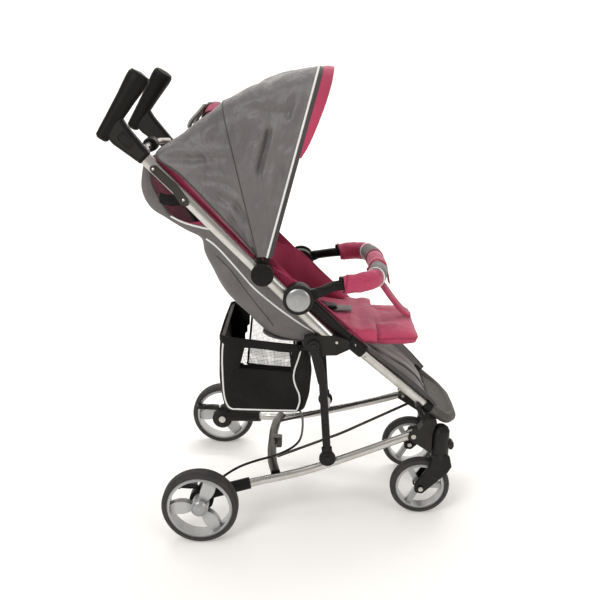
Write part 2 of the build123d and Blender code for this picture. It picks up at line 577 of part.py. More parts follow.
# ---- seat, backrest, leg rest ----------------------------------------------------------------------
SEAT_HALF, SEAT_TOP, SEAT_THICK, BOARD = 128, 462, 18, 4
HAMMOCK_OUTER = [(160, 427), (-15, 427), (-42, 444), (-84, 486), (-116, 520), (-146, 557), (-166, 598),
                 (-180, 632), (-187, 661), (-214, 679), (-250, 700), (-288, 727), (-307, 766), (-304, 800)]
HAMMOCK_RIM = [(-296, 800), (-262, 792), (20, 518), (60, 531), (160, 434)]
HAMMOCK_HALF, HAMMOCK_SKIN = 136, 3
HAMMOCK_INNER = [(170, 430.5), (-14, 430.5), (-40, 447), (-82, 489), (-113, 522), (-143, 559), (-163, 599),
                 (-177, 633), (-184, 663), (-213, 682.5), (-248, 703.5), (-285, 729.5), (-303.5, 767),
                 (-300, 830), (170, 830)]
RECLINE = 59.5  # degrees of the backrest above horizontal
BACK_LENGTH, BACK_PAD = 368, 20

with BuildPart() as hammock:
    side_plate(HAMMOCK_OUTER + HAMMOCK_RIM, -HAMMOCK_HALF, HAMMOCK_HALF)
    side_plate(HAMMOCK_INNER, HAMMOCK_SKIN - HAMMOCK_HALF, HAMMOCK_HALF - HAMMOCK_SKIN, mode=Mode.SUBTRACT)
save(hammock, "hammock")

with BuildPart() as seat_board:
    with BuildSketch(Plane.XY.offset(SEAT_TOP - SEAT_THICK - BOARD - GAP)) as outline:
        with Locations((67, 0)):
            RectangleRounded(186, 2 * SEAT_HALF, 12)
    extrude(outline.sketch, amount=BOARD)
save(seat_board, "seat_board")

with BuildPart() as seat_pad:
    with BuildSketch(Plane.XY.offset(SEAT_TOP - SEAT_THICK)) as outline:
        with Locations((66, 0)):
            RectangleRounded(190, 2 * SEAT_HALF, 14)
    extrude(outline.sketch, amount=SEAT_THICK)
    fillet(seat_pad.edges().group_by(Axis.Z)[-1], 6)
save(seat_pad, "seat_pad")

with BuildPart() as harness:
    with BuildSketch(Plane.XY.offset(SEAT_TOP + GAP)) as outline:
        with Locations((92, 0)):
            RectangleRounded(70, 46, 10)
        with Locations((104, 0)):
            RectangleRounded(22, 180, 6)
    extrude(outline.sketch, amount=9)
    with BuildSketch(Plane.XY.offset(SEAT_TOP + 9)) as buckle:
        with Locations((98, 0)):
            RectangleRounded(34, 40, 8)
    extrude(buckle.sketch, amount=12)
save(harness, "harness")

BACK_UP = Vector(-cos(radians(RECLINE)), 0, sin(radians(RECLINE)))
BACK_PLANE = Plane(origin=(RECLINE_PIVOT[0], 0, RECLINE_PIVOT[1]), x_dir=BACK_UP,
                   z_dir=BACK_UP.cross(Vector(0, -1, 0)))

with BuildPart() as backrest_board:
    with BuildSketch(BACK_PLANE.offset(-BOARD / 2)) as outline:
        with Locations((BACK_LENGTH / 2 + 36, 0)):
            RectangleRounded(BACK_LENGTH, 2 * SEAT_HALF - 8, 20)
    extrude(outline.sketch, amount=BOARD)
save(backrest_board, "backrest_board")

with BuildPart() as backrest_pad:
    with BuildSketch(BACK_PLANE.offset(BOARD / 2 + GAP)) as outline:
        with Locations((BACK_LENGTH / 2 + 36, 0)):
            RectangleRounded(BACK_LENGTH, 2 * SEAT_HALF - 4, 24)
    extrude(outline.sketch, amount=BACK_PAD)
save(backrest_pad, "backrest_pad")

LEG_REAR_X, LEG_FRONT_X, LEG_HALF_REAR, LEG_HALF_FRONT, LEG_THICK = 169, 298, 134, 120, 22
with BuildPart() as legrest_pad:
    with BuildSketch(Plane.XY.offset(LEGREST_PIVOT[1] - 8)) as outline:
        with BuildLine():
            Polyline((LEG_REAR_X, LEG_HALF_REAR), (LEG_FRONT_X, LEG_HALF_FRONT),
                     (LEG_FRONT_X, -LEG_HALF_FRONT), (LEG_REAR_X, -LEG_HALF_REAR), close=True)
        make_face()
        fillet(outline.vertices(), 22)
    extrude(outline.sketch, amount=LEG_THICK)
    fillet(legrest_pad.edges().group_by(Axis.Z)[-1], 7)
save(legrest_pad, "legrest_pad")

with BuildPart() as calf_panel:
    with BuildSketch(Plane(origin=(172, 0, 402), x_dir=(153, 0, -142), z_dir=(142, 0, 153))) as outline:
        with BuildLine():
            Polyline((0, 134), (205, 98), (205, -98), (0, -134), close=True)
        make_face()
    extrude(outline.sketch, amount=4)
save(calf_panel, "calf_panel")

LEVER = [(-281, 812), (-270, 825), (-225, 783), (-203, 752), (-203, 738), (-219, 741), (-236, 768)]
LEVER_INNER_Y, LEVER_OUTER_Y = 163, 167
with BuildPart() as recline_levers:
    side_plate(LEVER, LEVER_INNER_Y, LEVER_OUTER_Y, 4)
    side_disc(LEVER_PIVOT, 7, LEVER_INNER_Y - 3.5, LEVER_OUTER_Y + 2)
    both_sides()
save(recline_levers, "recline_levers")

# ---- bumper bar ------------------------------------------------------------------------------------
ARM_LEAF_Y = (176, 186)
BAR_R, SLEEVE_R = 11, 17
BAR_PATH = [(65, 181, 557), (82, 176, 561), (104, 160.5, 568), (188, 158, 577), (206, 100, 579),
            (208, 0, 579)]
BAR_BENDS = [25, 25, 40, 60]
ARM_PLATE = [(24, 560), (33, 532), (72, 547), (66, 568)]
SLEEVE_START_X = 134
NUB = (120, 161)  # x, y of the release nub on each arm
NUB_R, NUB_LOW, NUB_TOP, NUB_TRAVEL = 6, 577, 589, 2.5
with BuildPart() as bumper_bar:
    rod(BAR_PATH, BAR_R, BAR_BENDS)
    both_sides()
    for side_name, side in SIDES:
        side_disc(HUB, 24, *layers(side, *ARM_LEAF_Y))
        side_plate(ARM_PLATE, *layers(side, *ARM_LEAF_Y))
        upright_disc(NUB[0], side * NUB[1], NUB_R + GAP, NUB_LOW - NUB_TRAVEL - GAP, NUB_TOP, Mode.SUBTRACT)
    side_disc(HUB, POST_R + RUNNING_FIT, -200, 200, Mode.SUBTRACT)
save(bumper_bar, "bumper_bar")

with BuildPart() as bumper_sleeve:
    rod(BAR_PATH, SLEEVE_R, BAR_BENDS)
    side_plate([(-50, 400), (-50, 700), (SLEEVE_START_X, 700), (SLEEVE_START_X, 400)], 0, 300,
               mode=Mode.SUBTRACT)
    both_sides()
    add(bumper_bar.part, mode=Mode.SUBTRACT)
save(bumper_sleeve, "bumper_sleeve")

CROTCH = [(201, 570), (207, 560), (220, 533), (241, 500), (263, 476), (285, 454), (292, 451), (294, 453),
          (288, 457), (266, 479), (244, 503), (224, 535), (215, 570)]
with BuildPart() as crotch_strap:
    side_plate(CROTCH, -15, 15)
    add(bumper_sleeve.part, mode=Mode.SUBTRACT)
    add(bumper_bar.part, mode=Mode.SUBTRACT)
save(crotch_strap, "crotch_strap")

for side_name, side in SIDES:
    with BuildPart() as bumper_button:
        upright_disc(NUB[0], side * NUB[1], NUB_R, NUB_LOW, NUB_TOP)
        fillet(bumper_button.edges().group_by(Axis.Z)[-1], 2)
    save(bumper_button, f"bumper_button_{side_name}")

# ---- basket ----------------------------------------------------------------------------------------
BASKET_FLOOR, BASKET_SKIN, BASKET_CORNER = 257, 3, 14
FLOOR_MIDDLE, FLOOR_LENGTH, FLOOR_WIDTH = -51.5, 159, 262
MOUTH_REAR, MOUTH_FRONT, MOUTH_WIDTH = (-146, 434), (45, 413), 278  # x, z of the mouth's ends
MOUTH_RUN = Vector(MOUTH_FRONT[0] - MOUTH_REAR[0], 0, MOUTH_FRONT[1] - MOUTH_REAR[1])
MOUTH = Plane(origin=((MOUTH_REAR[0] + MOUTH_FRONT[0]) / 2, 0, (MOUTH_REAR[1] + MOUTH_FRONT[1]) / 2),
              x_dir=MOUTH_RUN, z_dir=Vector(0, -1, 0).cross(MOUTH_RUN))
RIM_HEIGHT, RIM_WIDTH = 6, 7
RIM_HOOK = [(36, 418), (52, 418), (58, 432), (50, 432), (44, 424), (36, 424)]
with BuildPart() as basket:
    for skin, mode in ((0, Mode.ADD), (BASKET_SKIN, Mode.SUBTRACT)):
        with BuildSketch(Plane.XY.offset(BASKET_FLOOR + skin)) as floor:
            with Locations((FLOOR_MIDDLE, 0)):
                RectangleRounded(FLOOR_LENGTH - 2 * skin, FLOOR_WIDTH - 2 * skin, BASKET_CORNER)
        with BuildSketch(MOUTH.offset(skin / 10)) as mouth:
            RectangleRounded(MOUTH_RUN.length - 2 * skin, MOUTH_WIDTH - 2 * skin, BASKET_CORNER)
        loft([floor.sketch, mouth.sketch], mode=mode)
save(basket, "basket")

with BuildPart() as basket_rim:
    with BuildSketch(MOUTH.offset(0.2)) as ring:
        RectangleRounded(MOUTH_RUN.length, MOUTH_WIDTH, BASKET_CORNER)
        RectangleRounded(MOUTH_RUN.length - 2 * RIM_WIDTH, MOUTH_WIDTH - 2 * RIM_WIDTH,
                         BASKET_CORNER - RIM_WIDTH, mode=Mode.SUBTRACT)
    extrude(ring.sketch, amount=RIM_HEIGHT)
    for side_name, side in SIDES:
        side_plate(RIM_HOOK, *layers(side, 138, 154.8))
save(basket_rim, "basket_rim")

# ---- fasteners of the frame --------------------------------------------------------------------------
RIVET_R = 3
RIVETS = [((112, 446), 178, 181.5), ((152, 436), 160, 167.5)]  # x and z, low y, high y
with BuildPart() as frame_fasteners:
    side_disc(FOLD_PIVOT, EYE_PIN_R, CARRIER_INNER_Y - 3, CARRIER_OUTER_Y + 1)
    side_disc(FOLD_PIVOT, EYE_PIN_R + 1.5, CARRIER_OUTER_Y + 0.2, CARRIER_OUTER_Y + 3)
    for centre, inner, outer in RIVETS:
        side_disc(centre, RIVET_R, inner, outer)
    for solid in (strut_brackets, front_beams, lower_tubes, side_tubes):
        add(solid.part, mode=Mode.SUBTRACT)
    both_sides()
save(frame_fasteners, "frame_fasteners")
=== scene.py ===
"""Looks of the folding pushchair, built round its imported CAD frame. Metres; +X forward, +Y the child's left, +Z up."""
import math

import bmesh
import bpy
from mathutils import Matrix, Vector, noise
from mathutils.bvhtree import BVHTree


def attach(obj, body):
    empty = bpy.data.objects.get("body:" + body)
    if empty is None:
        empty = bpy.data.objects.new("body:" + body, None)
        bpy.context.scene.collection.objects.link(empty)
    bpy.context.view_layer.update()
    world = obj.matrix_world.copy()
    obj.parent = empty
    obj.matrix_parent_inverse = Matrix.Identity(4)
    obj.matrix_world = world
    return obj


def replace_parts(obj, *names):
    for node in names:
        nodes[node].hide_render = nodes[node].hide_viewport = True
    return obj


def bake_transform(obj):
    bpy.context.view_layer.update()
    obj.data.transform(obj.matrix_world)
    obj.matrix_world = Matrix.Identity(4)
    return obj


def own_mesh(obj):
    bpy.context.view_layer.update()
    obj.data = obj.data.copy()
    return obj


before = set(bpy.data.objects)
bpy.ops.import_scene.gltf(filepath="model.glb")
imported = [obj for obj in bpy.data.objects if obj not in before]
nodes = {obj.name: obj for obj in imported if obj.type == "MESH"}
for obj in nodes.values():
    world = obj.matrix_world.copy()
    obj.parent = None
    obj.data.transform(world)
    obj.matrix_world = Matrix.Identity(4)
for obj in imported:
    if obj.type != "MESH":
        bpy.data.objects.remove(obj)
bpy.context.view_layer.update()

collection = bpy.context.scene.collection
SIDES = (("left", 1), ("right", -1))

# ---- camera: the photograph's viewing angle ------------------------------------------------------
CAMERA_AT = Vector((0.0560, -1.84847, 1.02989))
YAW, PITCH, ROLL = 0.0146192, 0.2847843, 0.0074854
LENS, SENSOR = 48.77, 36.0


def make_camera():
    forward = Vector((-math.sin(YAW) * math.cos(PITCH), math.cos(YAW) * math.cos(PITCH), -math.sin(PITCH)))
    level = Vector((math.cos(YAW), math.sin(YAW), 0))
    upward = level.cross(forward)
    right = math.cos(ROLL) * level + math.sin(ROLL) * upward
    top = math.cos(ROLL) * upward - math.sin(ROLL) * level
    data = bpy.data.cameras.new("camera")
    data.lens, data.sensor_width = LENS, SENSOR
    camera = bpy.data.objects.new("camera", data)
    camera.matrix_world = Matrix((
        (right.x, top.x, -forward.x, CAMERA_AT.x),
        (right.y, top.y, -forward.y, CAMERA_AT.y),
        (right.z, top.z, -forward.z, CAMERA_AT.z),
        (0, 0, 0, 1),
    ))
    collection.objects.link(camera)
    bpy.context.scene.camera = camera


make_camera()


# ---- materials -----------------------------------------------------------------------------------
class Graph:
    """Small helper that adds nodes to one material and links them."""

    def __init__(self, name):
        self.material = bpy.data.materials.new(name)
        self.material.use_nodes = True
        self.tree = self.material.node_tree
        self.shader = self.tree.nodes["Principled BSDF"]
        self.place = self.tree.nodes.new("ShaderNodeTexCoord").outputs["Object"]

    def add(self, kind, **values):
        node = self.tree.nodes.new(kind)
        for key, value in values.items():
            if key in node.inputs:
                node.inputs[key].default_value = value
            else:
                setattr(node, key, value)
        return node

    def link(self, source, target):
        self.tree.links.new(source, target)

    def noise(self, scale, detail=3.0, rough=0.55, stretch=None):
        node = self.add("ShaderNodeTexNoise", Scale=scale, Detail=detail, Roughness=rough)
        place = self.place
        if stretch:
            mapping = self.add("ShaderNodeMapping")
            mapping.inputs["Scale"].default_value = stretch
            self.link(place, mapping.inputs["Vector"])
            place = mapping.outputs["Vector"]
        self.link(place, node.inputs["Vector"])
        return node.outputs["Fac"]

    def ramp(self, source, low, high, out_low, out_high):
        node = self.add("ShaderNodeMapRange")
        for index, value in enumerate((low, high, out_low, out_high), 1):
            node.inputs[index].default_value = value
        self.link(source, node.inputs[0])
        return node.outputs[0]

    def mix(self, factor, first, second):
        node = self.add("ShaderNodeMix", data_type="RGBA")
        self.link(factor, node.inputs[0])
        for index, value in ((6, first), (7, second)):
            if isinstance(value, tuple):
                node.inputs[index].default_value = (*value, 1)
            else:
                self.link(value, node.inputs[index])
        return node.outputs[2]

    def math(self, operation, first, second):
        node = self.add("ShaderNodeMath", operation=operation)
        for index, value in enumerate((first, second)):
            if isinstance(value, (int, float)):
                node.inputs[index].default_value = value
            else:
                self.link(value, node.inputs[index])
        return node.outputs[0]

    def bump(self, height, strength, distance, under=None):
        node = self.add("ShaderNodeBump", Strength=strength, Distance=distance)
        self.link(height, node.inputs["Height"])
        if under is not None:
            self.link(under, node.inputs["Normal"])
        return node.outputs["Normal"]

    def threads(self, period, turn):
        """Bands of one thread direction, as seen on any face of a piece."""
        mapping = self.add("ShaderNodeMapping")
        mapping.inputs["Rotation"].default_value = turn
        self.link(self.place, mapping.inputs["Vector"])
        wave = self.add("ShaderNodeTexWave", Scale=math.pi / (10 * period), Distortion=0.6)
        wave.inputs["Detail Scale"].default_value = 0.4
        self.link(mapping.outputs["Vector"], wave.inputs["Vector"])
        return wave.outputs["Fac"]

    def finish(self, colour, rough, normal=None, metallic=0.0, **fixed):
        for value, socket in ((colour, "Base Color"), (rough, "Roughness")):
            if isinstance(value, tuple):
                self.shader.inputs[socket].default_value = (*value, 1)
            elif isinstance(value, float):
                self.shader.inputs[socket].default_value = value
            else:
                self.link(value, self.shader.inputs[socket])
        if normal is not None:
            self.link(normal, self.shader.inputs["Normal"])
        self.shader.inputs["Metallic"].default_value = metallic
        for key, value in fixed.items():
            self.shader.inputs[key.replace("_", " ")].default_value = value
        return self.material


def cloth(name, colour, shade, thread=0.0014, rough=(0.45, 0.7), sheen=0.3, sheen_tint=(1, 1, 1), crease=0.5,
          gloss=0.25):
    """Woven cloth: crossing threads with painted shade in the gaps between them, slow colour drift and fine creases."""
    g = Graph(name)
    weave = g.math("MULTIPLY", g.threads(thread, (0.0, 0.55, 0.2)), g.threads(thread, (0.0, 2.1, -0.3)))
    drift = g.noise(9.0, 4.0)
    slub = g.noise(420.0, 2.0, stretch=(1.0, 1.0, 0.15))
    tone = g.mix(g.ramp(drift, 0.35, 0.68, 0.0, 1.0), colour, shade)
    # painted shade: the gaps between the threads are darkened toward a dark copy of the cloth's colour
    dark = g.mix(g.ramp(weave, 0.0, 0.5, 0.30, 0.0), tone, tuple(c * 0.45 for c in colour))
    fleck = g.mix(g.ramp(slub, 0.5, 0.8, 0.0, 0.22), dark, tuple(min(1.0, c * 1.5 + 0.02) for c in colour))
    folds = g.bump(g.noise(28.0, 5.0, 0.62), crease, 0.004)
    normal = g.bump(weave, 0.5, 0.0004, folds)
    return g.finish(fleck, g.ramp(drift, 0.3, 0.7, *rough), normal, Sheen_Weight=sheen, Sheen_Roughness=0.4,
                    Sheen_Tint=(*sheen_tint, 1), Specular_IOR_Level=gloss)


def moulded(name, colour, wear_and_groove_shade, rough=(0.32, 0.5), grain=900.0, depth=0.00025, **fixed):
    """Moulded plastic or rubber: fine grain, handling marks and paler rubbed edges."""
    g = Graph(name)
    patch = g.noise(14.0, 5.0)
    scuff = g.noise(160.0, 3.0, stretch=(1.0, 0.25, 1.0))
    edge = g.ramp(g.add("ShaderNodeNewGeometry").outputs["Pointiness"], 0.53, 0.62, 0.0, 0.55)
    tone = g.mix(g.ramp(patch, 0.35, 0.7, 0.0, 0.5), colour, tuple(c * 1.35 for c in colour))
    rubbed = g.mix(edge, tone, wear_and_groove_shade)
    marked = g.mix(g.ramp(scuff, 0.62, 0.8, 0.0, 0.25), rubbed, wear_and_groove_shade)
    normal = g.bump(g.noise(grain, 2.0), 0.35, depth)
    fixed.setdefault("Specular_IOR_Level", 0.13)
    return g.finish(marked, g.ramp(patch, 0.3, 0.7, *rough), normal, **fixed)


def metal(name, colour, stain, rough=(0.16, 0.3), **fixed):
    """Drawn or plated metal: faint draw lines, smudges and colour drift."""
    g = Graph(name)
    smudge = g.noise(22.0, 5.0)
    lines = g.noise(260.0, 3.0, stretch=(0.12, 3.0, 0.12))
    tone = g.mix(g.ramp(smudge, 0.4, 0.7, 0.0, 1.0), colour, stain)
    lined = g.mix(g.ramp(lines, 0.35, 0.75, 0.0, 0.3), tone, tuple(c * 0.8 for c in colour))
    normal = g.bump(lines, 0.12, 0.0002)
    return g.finish(lined, g.ramp(smudge, 0.3, 0.7, *rough), normal, metallic=1.0, **fixed)


def satin():
    """The canopy's grey satin: long soft creases, a silky gloss, painted highlights along the crease streaks and
    painted shade between the threads.
    """
    g = Graph("satin_grey")
    warp = g.threads(0.0011, (0.0, 0.5, 0.1))
    weft = g.threads(0.0019, (0.0, 2.05, 0.0))
    drift = g.noise(6.0, 5.0, 0.6)
    streak = g.noise(26.0, 5.0, 0.65, stretch=(1.0, 1.0, 0.35))
    tone = g.mix(g.ramp(drift, 0.35, 0.7, 0.0, 1.0), (0.150, 0.137, 0.136), (0.108, 0.099, 0.099))
    # painted highlight: the long crease streaks are lightened toward a pale grey
    lit = g.mix(g.ramp(streak, 0.5, 0.85, 0.0, 0.35), tone, (0.20, 0.186, 0.184))
    # painted shade: the gaps between warp and weft are darkened
    fine = g.mix(g.ramp(g.math("MULTIPLY", warp, weft), 0.0, 0.5, 0.22, 0.0), lit, (0.07, 0.064, 0.062))
    normal = g.bump(g.math("ADD", warp, weft), 0.3, 0.0003, g.bump(streak, 0.8, 0.008))
    return g.finish(fine, g.ramp(streak, 0.3, 0.75, 0.30, 0.48), normal, Sheen_Weight=0.35, Sheen_Roughness=0.3,
                    Anisotropic=0.35)


def ribbed():
    """Footrest rubber with a woven, ribbed tread and painted shade in the grooves between the ribs."""
    g = Graph("rubber_ribbed")
    ribs = g.math("MAXIMUM", g.threads(0.0055, (0.0, 0.0, 0.0)), g.threads(0.0055, (0.0, 0.0, 1.5708)))
    patch = g.noise(18.0, 5.0)
    tone = g.mix(g.ramp(patch, 0.35, 0.7, 0.0, 1.0), (0.055, 0.048, 0.041), (0.08, 0.071, 0.062))
    # painted shade: the grooves between the ribs are darkened
    wear_and_groove_shade = g.mix(g.ramp(ribs, 0.1, 0.7, 0.5, 0.0), tone, (0.03, 0.026, 0.023))
    normal = g.bump(ribs, 0.5, 0.0012, g.bump(g.noise(800.0), 0.25, 0.0003))
    return g.finish(wear_and_groove_shade, g.ramp(patch, 0.3, 0.7, 0.5, 0.72), normal)


def tread():
    """Foam tyre: dusty, pitted rubber."""
    g = Graph("tyre_tread")
    dust = g.noise(45.0, 6.0, 0.7)
    pits = g.noise(700.0, 3.0)
    tone = g.mix(g.ramp(dust, 0.4, 0.75, 0.0, 1.0), (0.018, 0.016, 0.016), (0.05, 0.043, 0.038))
    speck = g.mix(g.ramp(pits, 0.6, 0.8, 0.0, 0.5), tone, (0.09, 0.08, 0.07))
    return g.finish(speck, g.ramp(dust, 0.3, 0.7, 0.62, 0.85), g.bump(pits, 0.5, 0.0006))


GREY = satin()
SIDE_GREY = cloth("side_grey", (0.165, 0.152, 0.150), (0.118, 0.109, 0.108), 0.0015, (0.42, 0.6), 0.2)
PALE_GREY = cloth("strap_grey", (0.21, 0.195, 0.185), (0.16, 0.15, 0.143), 0.002, (0.5, 0.7), 0.25)
TAB_GREY = cloth("tab_grey", (0.36, 0.345, 0.33), (0.28, 0.265, 0.255), 0.002, (0.5, 0.7), 0.1)
DARK_GREY = cloth("binding_grey", (0.075, 0.068, 0.066), (0.05, 0.046, 0.045), 0.0018, (0.5, 0.7), 0.25)
PINK = cloth("pink_cloth", (0.56, 0.066, 0.14), (0.43, 0.045, 0.105), 0.0013, (0.5, 0.72), 0.4, (1, 0.75, 0.82))
DEEP_PINK = cloth("pink_lining", (0.42, 0.035, 0.095), (0.30, 0.024, 0.068), 0.0013, (0.5, 0.75), 0.35, (1, 0.7, 0.8))
BLACK_CLOTH = cloth("black_cloth", (0.011, 0.010, 0.0098), (0.022, 0.020, 0.019), 0.0017, (0.5, 0.7), 0.04, gloss=0.08)
WHITE_CORD = cloth("piping_white", (0.93, 0.92, 0.90), (0.84, 0.83, 0.81), 0.0012, (0.4, 0.6), 0.1, crease=0.1)
PLASTIC = moulded("black_plastic", (0.010, 0.0092, 0.0086), (0.035, 0.032, 0.029))
GLOSSY = moulded("black_glossy", (0.008, 0.0075, 0.0072), (0.03, 0.028, 0.026), (0.2, 0.32), Specular_IOR_Level=0.22)
GRIP = moulded("grip_foam", (0.009, 0.0078, 0.0066), (0.05, 0.045, 0.038), (0.38, 0.55), 1500.0, 0.0003)
SILVER = moulded("silver_plastic", (0.33, 0.335, 0.335), (0.55, 0.55, 0.55), (0.26, 0.4), 2600.0, 0.00008)
SILVER.node_tree.nodes["Principled BSDF"].inputs["Metallic"].default_value = 0.65
TUBE = metal("anodised_tube", (0.60, 0.59, 0.565), (0.50, 0.475, 0.43), (0.22, 0.36))
STEEL = metal("plated_steel", (0.62, 0.60, 0.56), (0.48, 0.44, 0.38), (0.2, 0.36))
DARK_METAL = metal("dark_metal", (0.085, 0.078, 0.07), (0.06, 0.054, 0.05), (0.3, 0.45))
RIBBED = ribbed()
TREAD = tread()

NODE_MATERIALS = {
    TUBE: ("side_tubes", "lower_tubes", "bottom_rails", "handle_crossbar"),
    PLASTIC: ("front_beams", "strut_brackets", "hub_housings", "handle_necks", "front_carriers", "basket_rim",
              "canopy_clamps", "mid_bow", "front_bow", "bumper_bar", "axle_brackets", "seat_board", "backrest_board",
              "crossbar_knuckle"),
    GRIP: ("handle_grips",),
    SILVER: ("hub_caps", "rear_rim_left", "rear_rim_right", "front_rim_left", "front_rim_right"),
    STEEL: ("frame_fasteners", "rear_axles"),
    DARK_METAL: ("cross_tube", "recline_levers", "stay_rods"),
    GLOSSY: ("release_left", "release_right", "knuckle_button", "bumper_button_left", "bumper_button_right",
             "strut_left", "strut_right", "brake_pedal_left", "brake_pedal_right", "caster_fork_left",
             "caster_fork_right", "swivel_lock_left", "swivel_lock_right", "brake_cable"),
    RIBBED: ("footrest_bar",),
    TREAD: ("rear_tyre_left", "rear_tyre_right", "front_tyre_left", "front_tyre_right"),
}
for finish_material, names in NODE_MATERIALS.items():
    for node_name in names:
        nodes[node_name].data.materials.clear()
        nodes[node_name].data.materials.append(finish_material)


# ---- mesh helpers --------------------------------------------------------------------------------
def point_at(points, share):
    """Point at a share of a polyline's length."""
    runs = [(b - a).length for a, b in zip(points, points[1:])]
    left = share * sum(runs)
    for a, b, run in zip(points, points[1:], runs):
        if left <= run and run > 0:
            return a.lerp(b, left / run)
        left -= run
    return points[-1].copy()


def resample(points, count):
    """Points evenly spaced along a polyline."""
    return [point_at(points, i / (count - 1)) for i in range(count)]


def smooth(points, count, per_run=10):
    """Evenly spaced points on a smooth curve through the given ones."""
    points = [Vector(p) for p in points]
    ends = [2 * points[0] - points[1], *points, 2 * points[-1] - points[-2]]
    dense = []
    for p0, p1, p2, p3 in zip(ends, ends[1:], ends[2:], ends[3:]):
        for i in range(per_run):
            t = i / per_run
            dense.append(0.5 * (2 * p1 + (p2 - p0) * t + (2 * p0 - 5 * p1 + 4 * p2 - p3) * t * t
                                + (3 * p1 - p0 - 3 * p2 + p3) * t ** 3))
    return resample([*dense, points[-1]], count)


def mirrored(half):
    """Points from one end to the middle plane, and on down the other side."""
    return [*half, *((x, -y, z) for x, y, z in reversed(half[:-1]))]


def turns(sides, shut=False):
    """Angles round a circle; shut repeats the first at the end."""
    return [2 * math.pi * k / sides for k in range(sides + shut)]


def new_object(name, verts, faces, material):
    """A smooth-shaded mesh object."""
    mesh = bpy.data.meshes.new(name)
    mesh.from_pydata([tuple(v) for v in verts], [], faces)
    mesh.materials.append(material)
    mesh.polygons.foreach_set("use_smooth", [True] * len(mesh.polygons))
    mesh.update()
    piece = bpy.data.objects.new(name, mesh)
    collection.objects.link(piece)
    return piece


def lattice(name, rows, material, closed=False):
    """Sheet through rows of points; closed joins each row's ends."""
    width = len(rows[0])
    faces = []
    for i in range(len(rows) - 1):
        for j in range(width if closed else width - 1):
            k = (j + 1) % width
            faces.append((i * width + j, i * width + k, (i + 1) * width + k, (i + 1) * width + j))
    return new_object(name, [p for row in rows for p in row], faces, material)


def settle(piece, *modifiers):
    """Applies the modifiers that are given as (type, settings)."""
    for kind, settings in modifiers:
        modifier = piece.modifiers.new(kind, kind)
        for key, value in settings.items():
            setattr(modifier, key, value)
    graph = bpy.context.evaluated_depsgraph_get()
    made = bpy.data.meshes.new_from_object(piece.evaluated_get(graph))
    piece.modifiers.clear()
    piece.data = made
    made.polygons.foreach_set("use_smooth", [True] * len(made.polygons))
    return piece


def thicken(piece, thickness, levels=1):
    """Gives a sheet its thickness and rounds it."""
    return settle(piece, ("SOLIDIFY", {"thickness": thickness, "offset": 0.0}), ("SUBSURF", {"levels": levels}))


def capped(piece):
    """Closes a piece's open ends."""
    shape = bmesh.new()
    shape.from_mesh(piece.data)
    bmesh.ops.holes_fill(shape, edges=[e for e in shape.edges if e.is_boundary], sides=0)
    bmesh.ops.recalc_face_normals(shape, faces=shape.faces)
    shape.to_mesh(piece.data)
    shape.free()
    return piece


def tube(name, points, radius, material, sides=10, flat=1.0, caps=True):
    """Round or flattened tube along points; radius may be a function of the share along it."""
    rows = []
    side = None
    for i, p in enumerate(points):
        along = (points[min(i + 1, len(points) - 1)] - points[max(i - 1, 0)]).normalized()
        if side is None:
            side = along.orthogonal().normalized()
        side = (side - along * side.dot(along)).normalized()
        other = along.cross(side)
        r = radius(i / (len(points) - 1)) if callable(radius) else radius
        rows.append([p + side * math.cos(a) * r + other * math.sin(a) * r * flat
                     for a in turns(sides)])
    piece = lattice(name, rows, material, closed=True)
    return capped(piece) if caps else piece


def strap(name, points, across, width, thickness, material):
    """Flat webbing along points, lying across the given direction."""
    rows = []
    for i, p in enumerate(points):
        along = (points[min(i + 1, len(points) - 1)] - points[max(i - 1, 0)]).normalized()
        over = (Vector(across) - along * Vector(across).dot(along)).normalized() * width / 2
        up = along.cross(over).normalized() * thickness / 2
        rows.append([p - over - up, p + over - up, p + over + up, p - over + up])
    piece = lattice(name, rows, material, closed=True)
    shape = bmesh.new()
    shape.from_mesh(piece.data)
    bmesh.ops.holes_fill(shape, edges=[e for e in shape.edges if e.is_boundary], sides=4)
    bmesh.ops.recalc_face_normals(shape, faces=shape.faces)
    bmesh.ops.bevel(shape, geom=[e for e in shape.edges if e.calc_face_angle(0) > 1.0], offset=thickness * 0.3,
                    segments=2, affect="EDGES")
    shape.to_mesh(piece.data)
    shape.free()
    return piece


def join(name, pieces):
    """One piece out of several meshes."""
    bpy.ops.object.select_all(action="DESELECT")
    for p in pieces:
        p.select_set(True)
    bpy.context.view_layer.objects.active = pieces[0]
    bpy.ops.object.join()
    pieces[0].name = pieces[0].data.name = name
    pieces[0].select_set(False)
    return pieces[0]


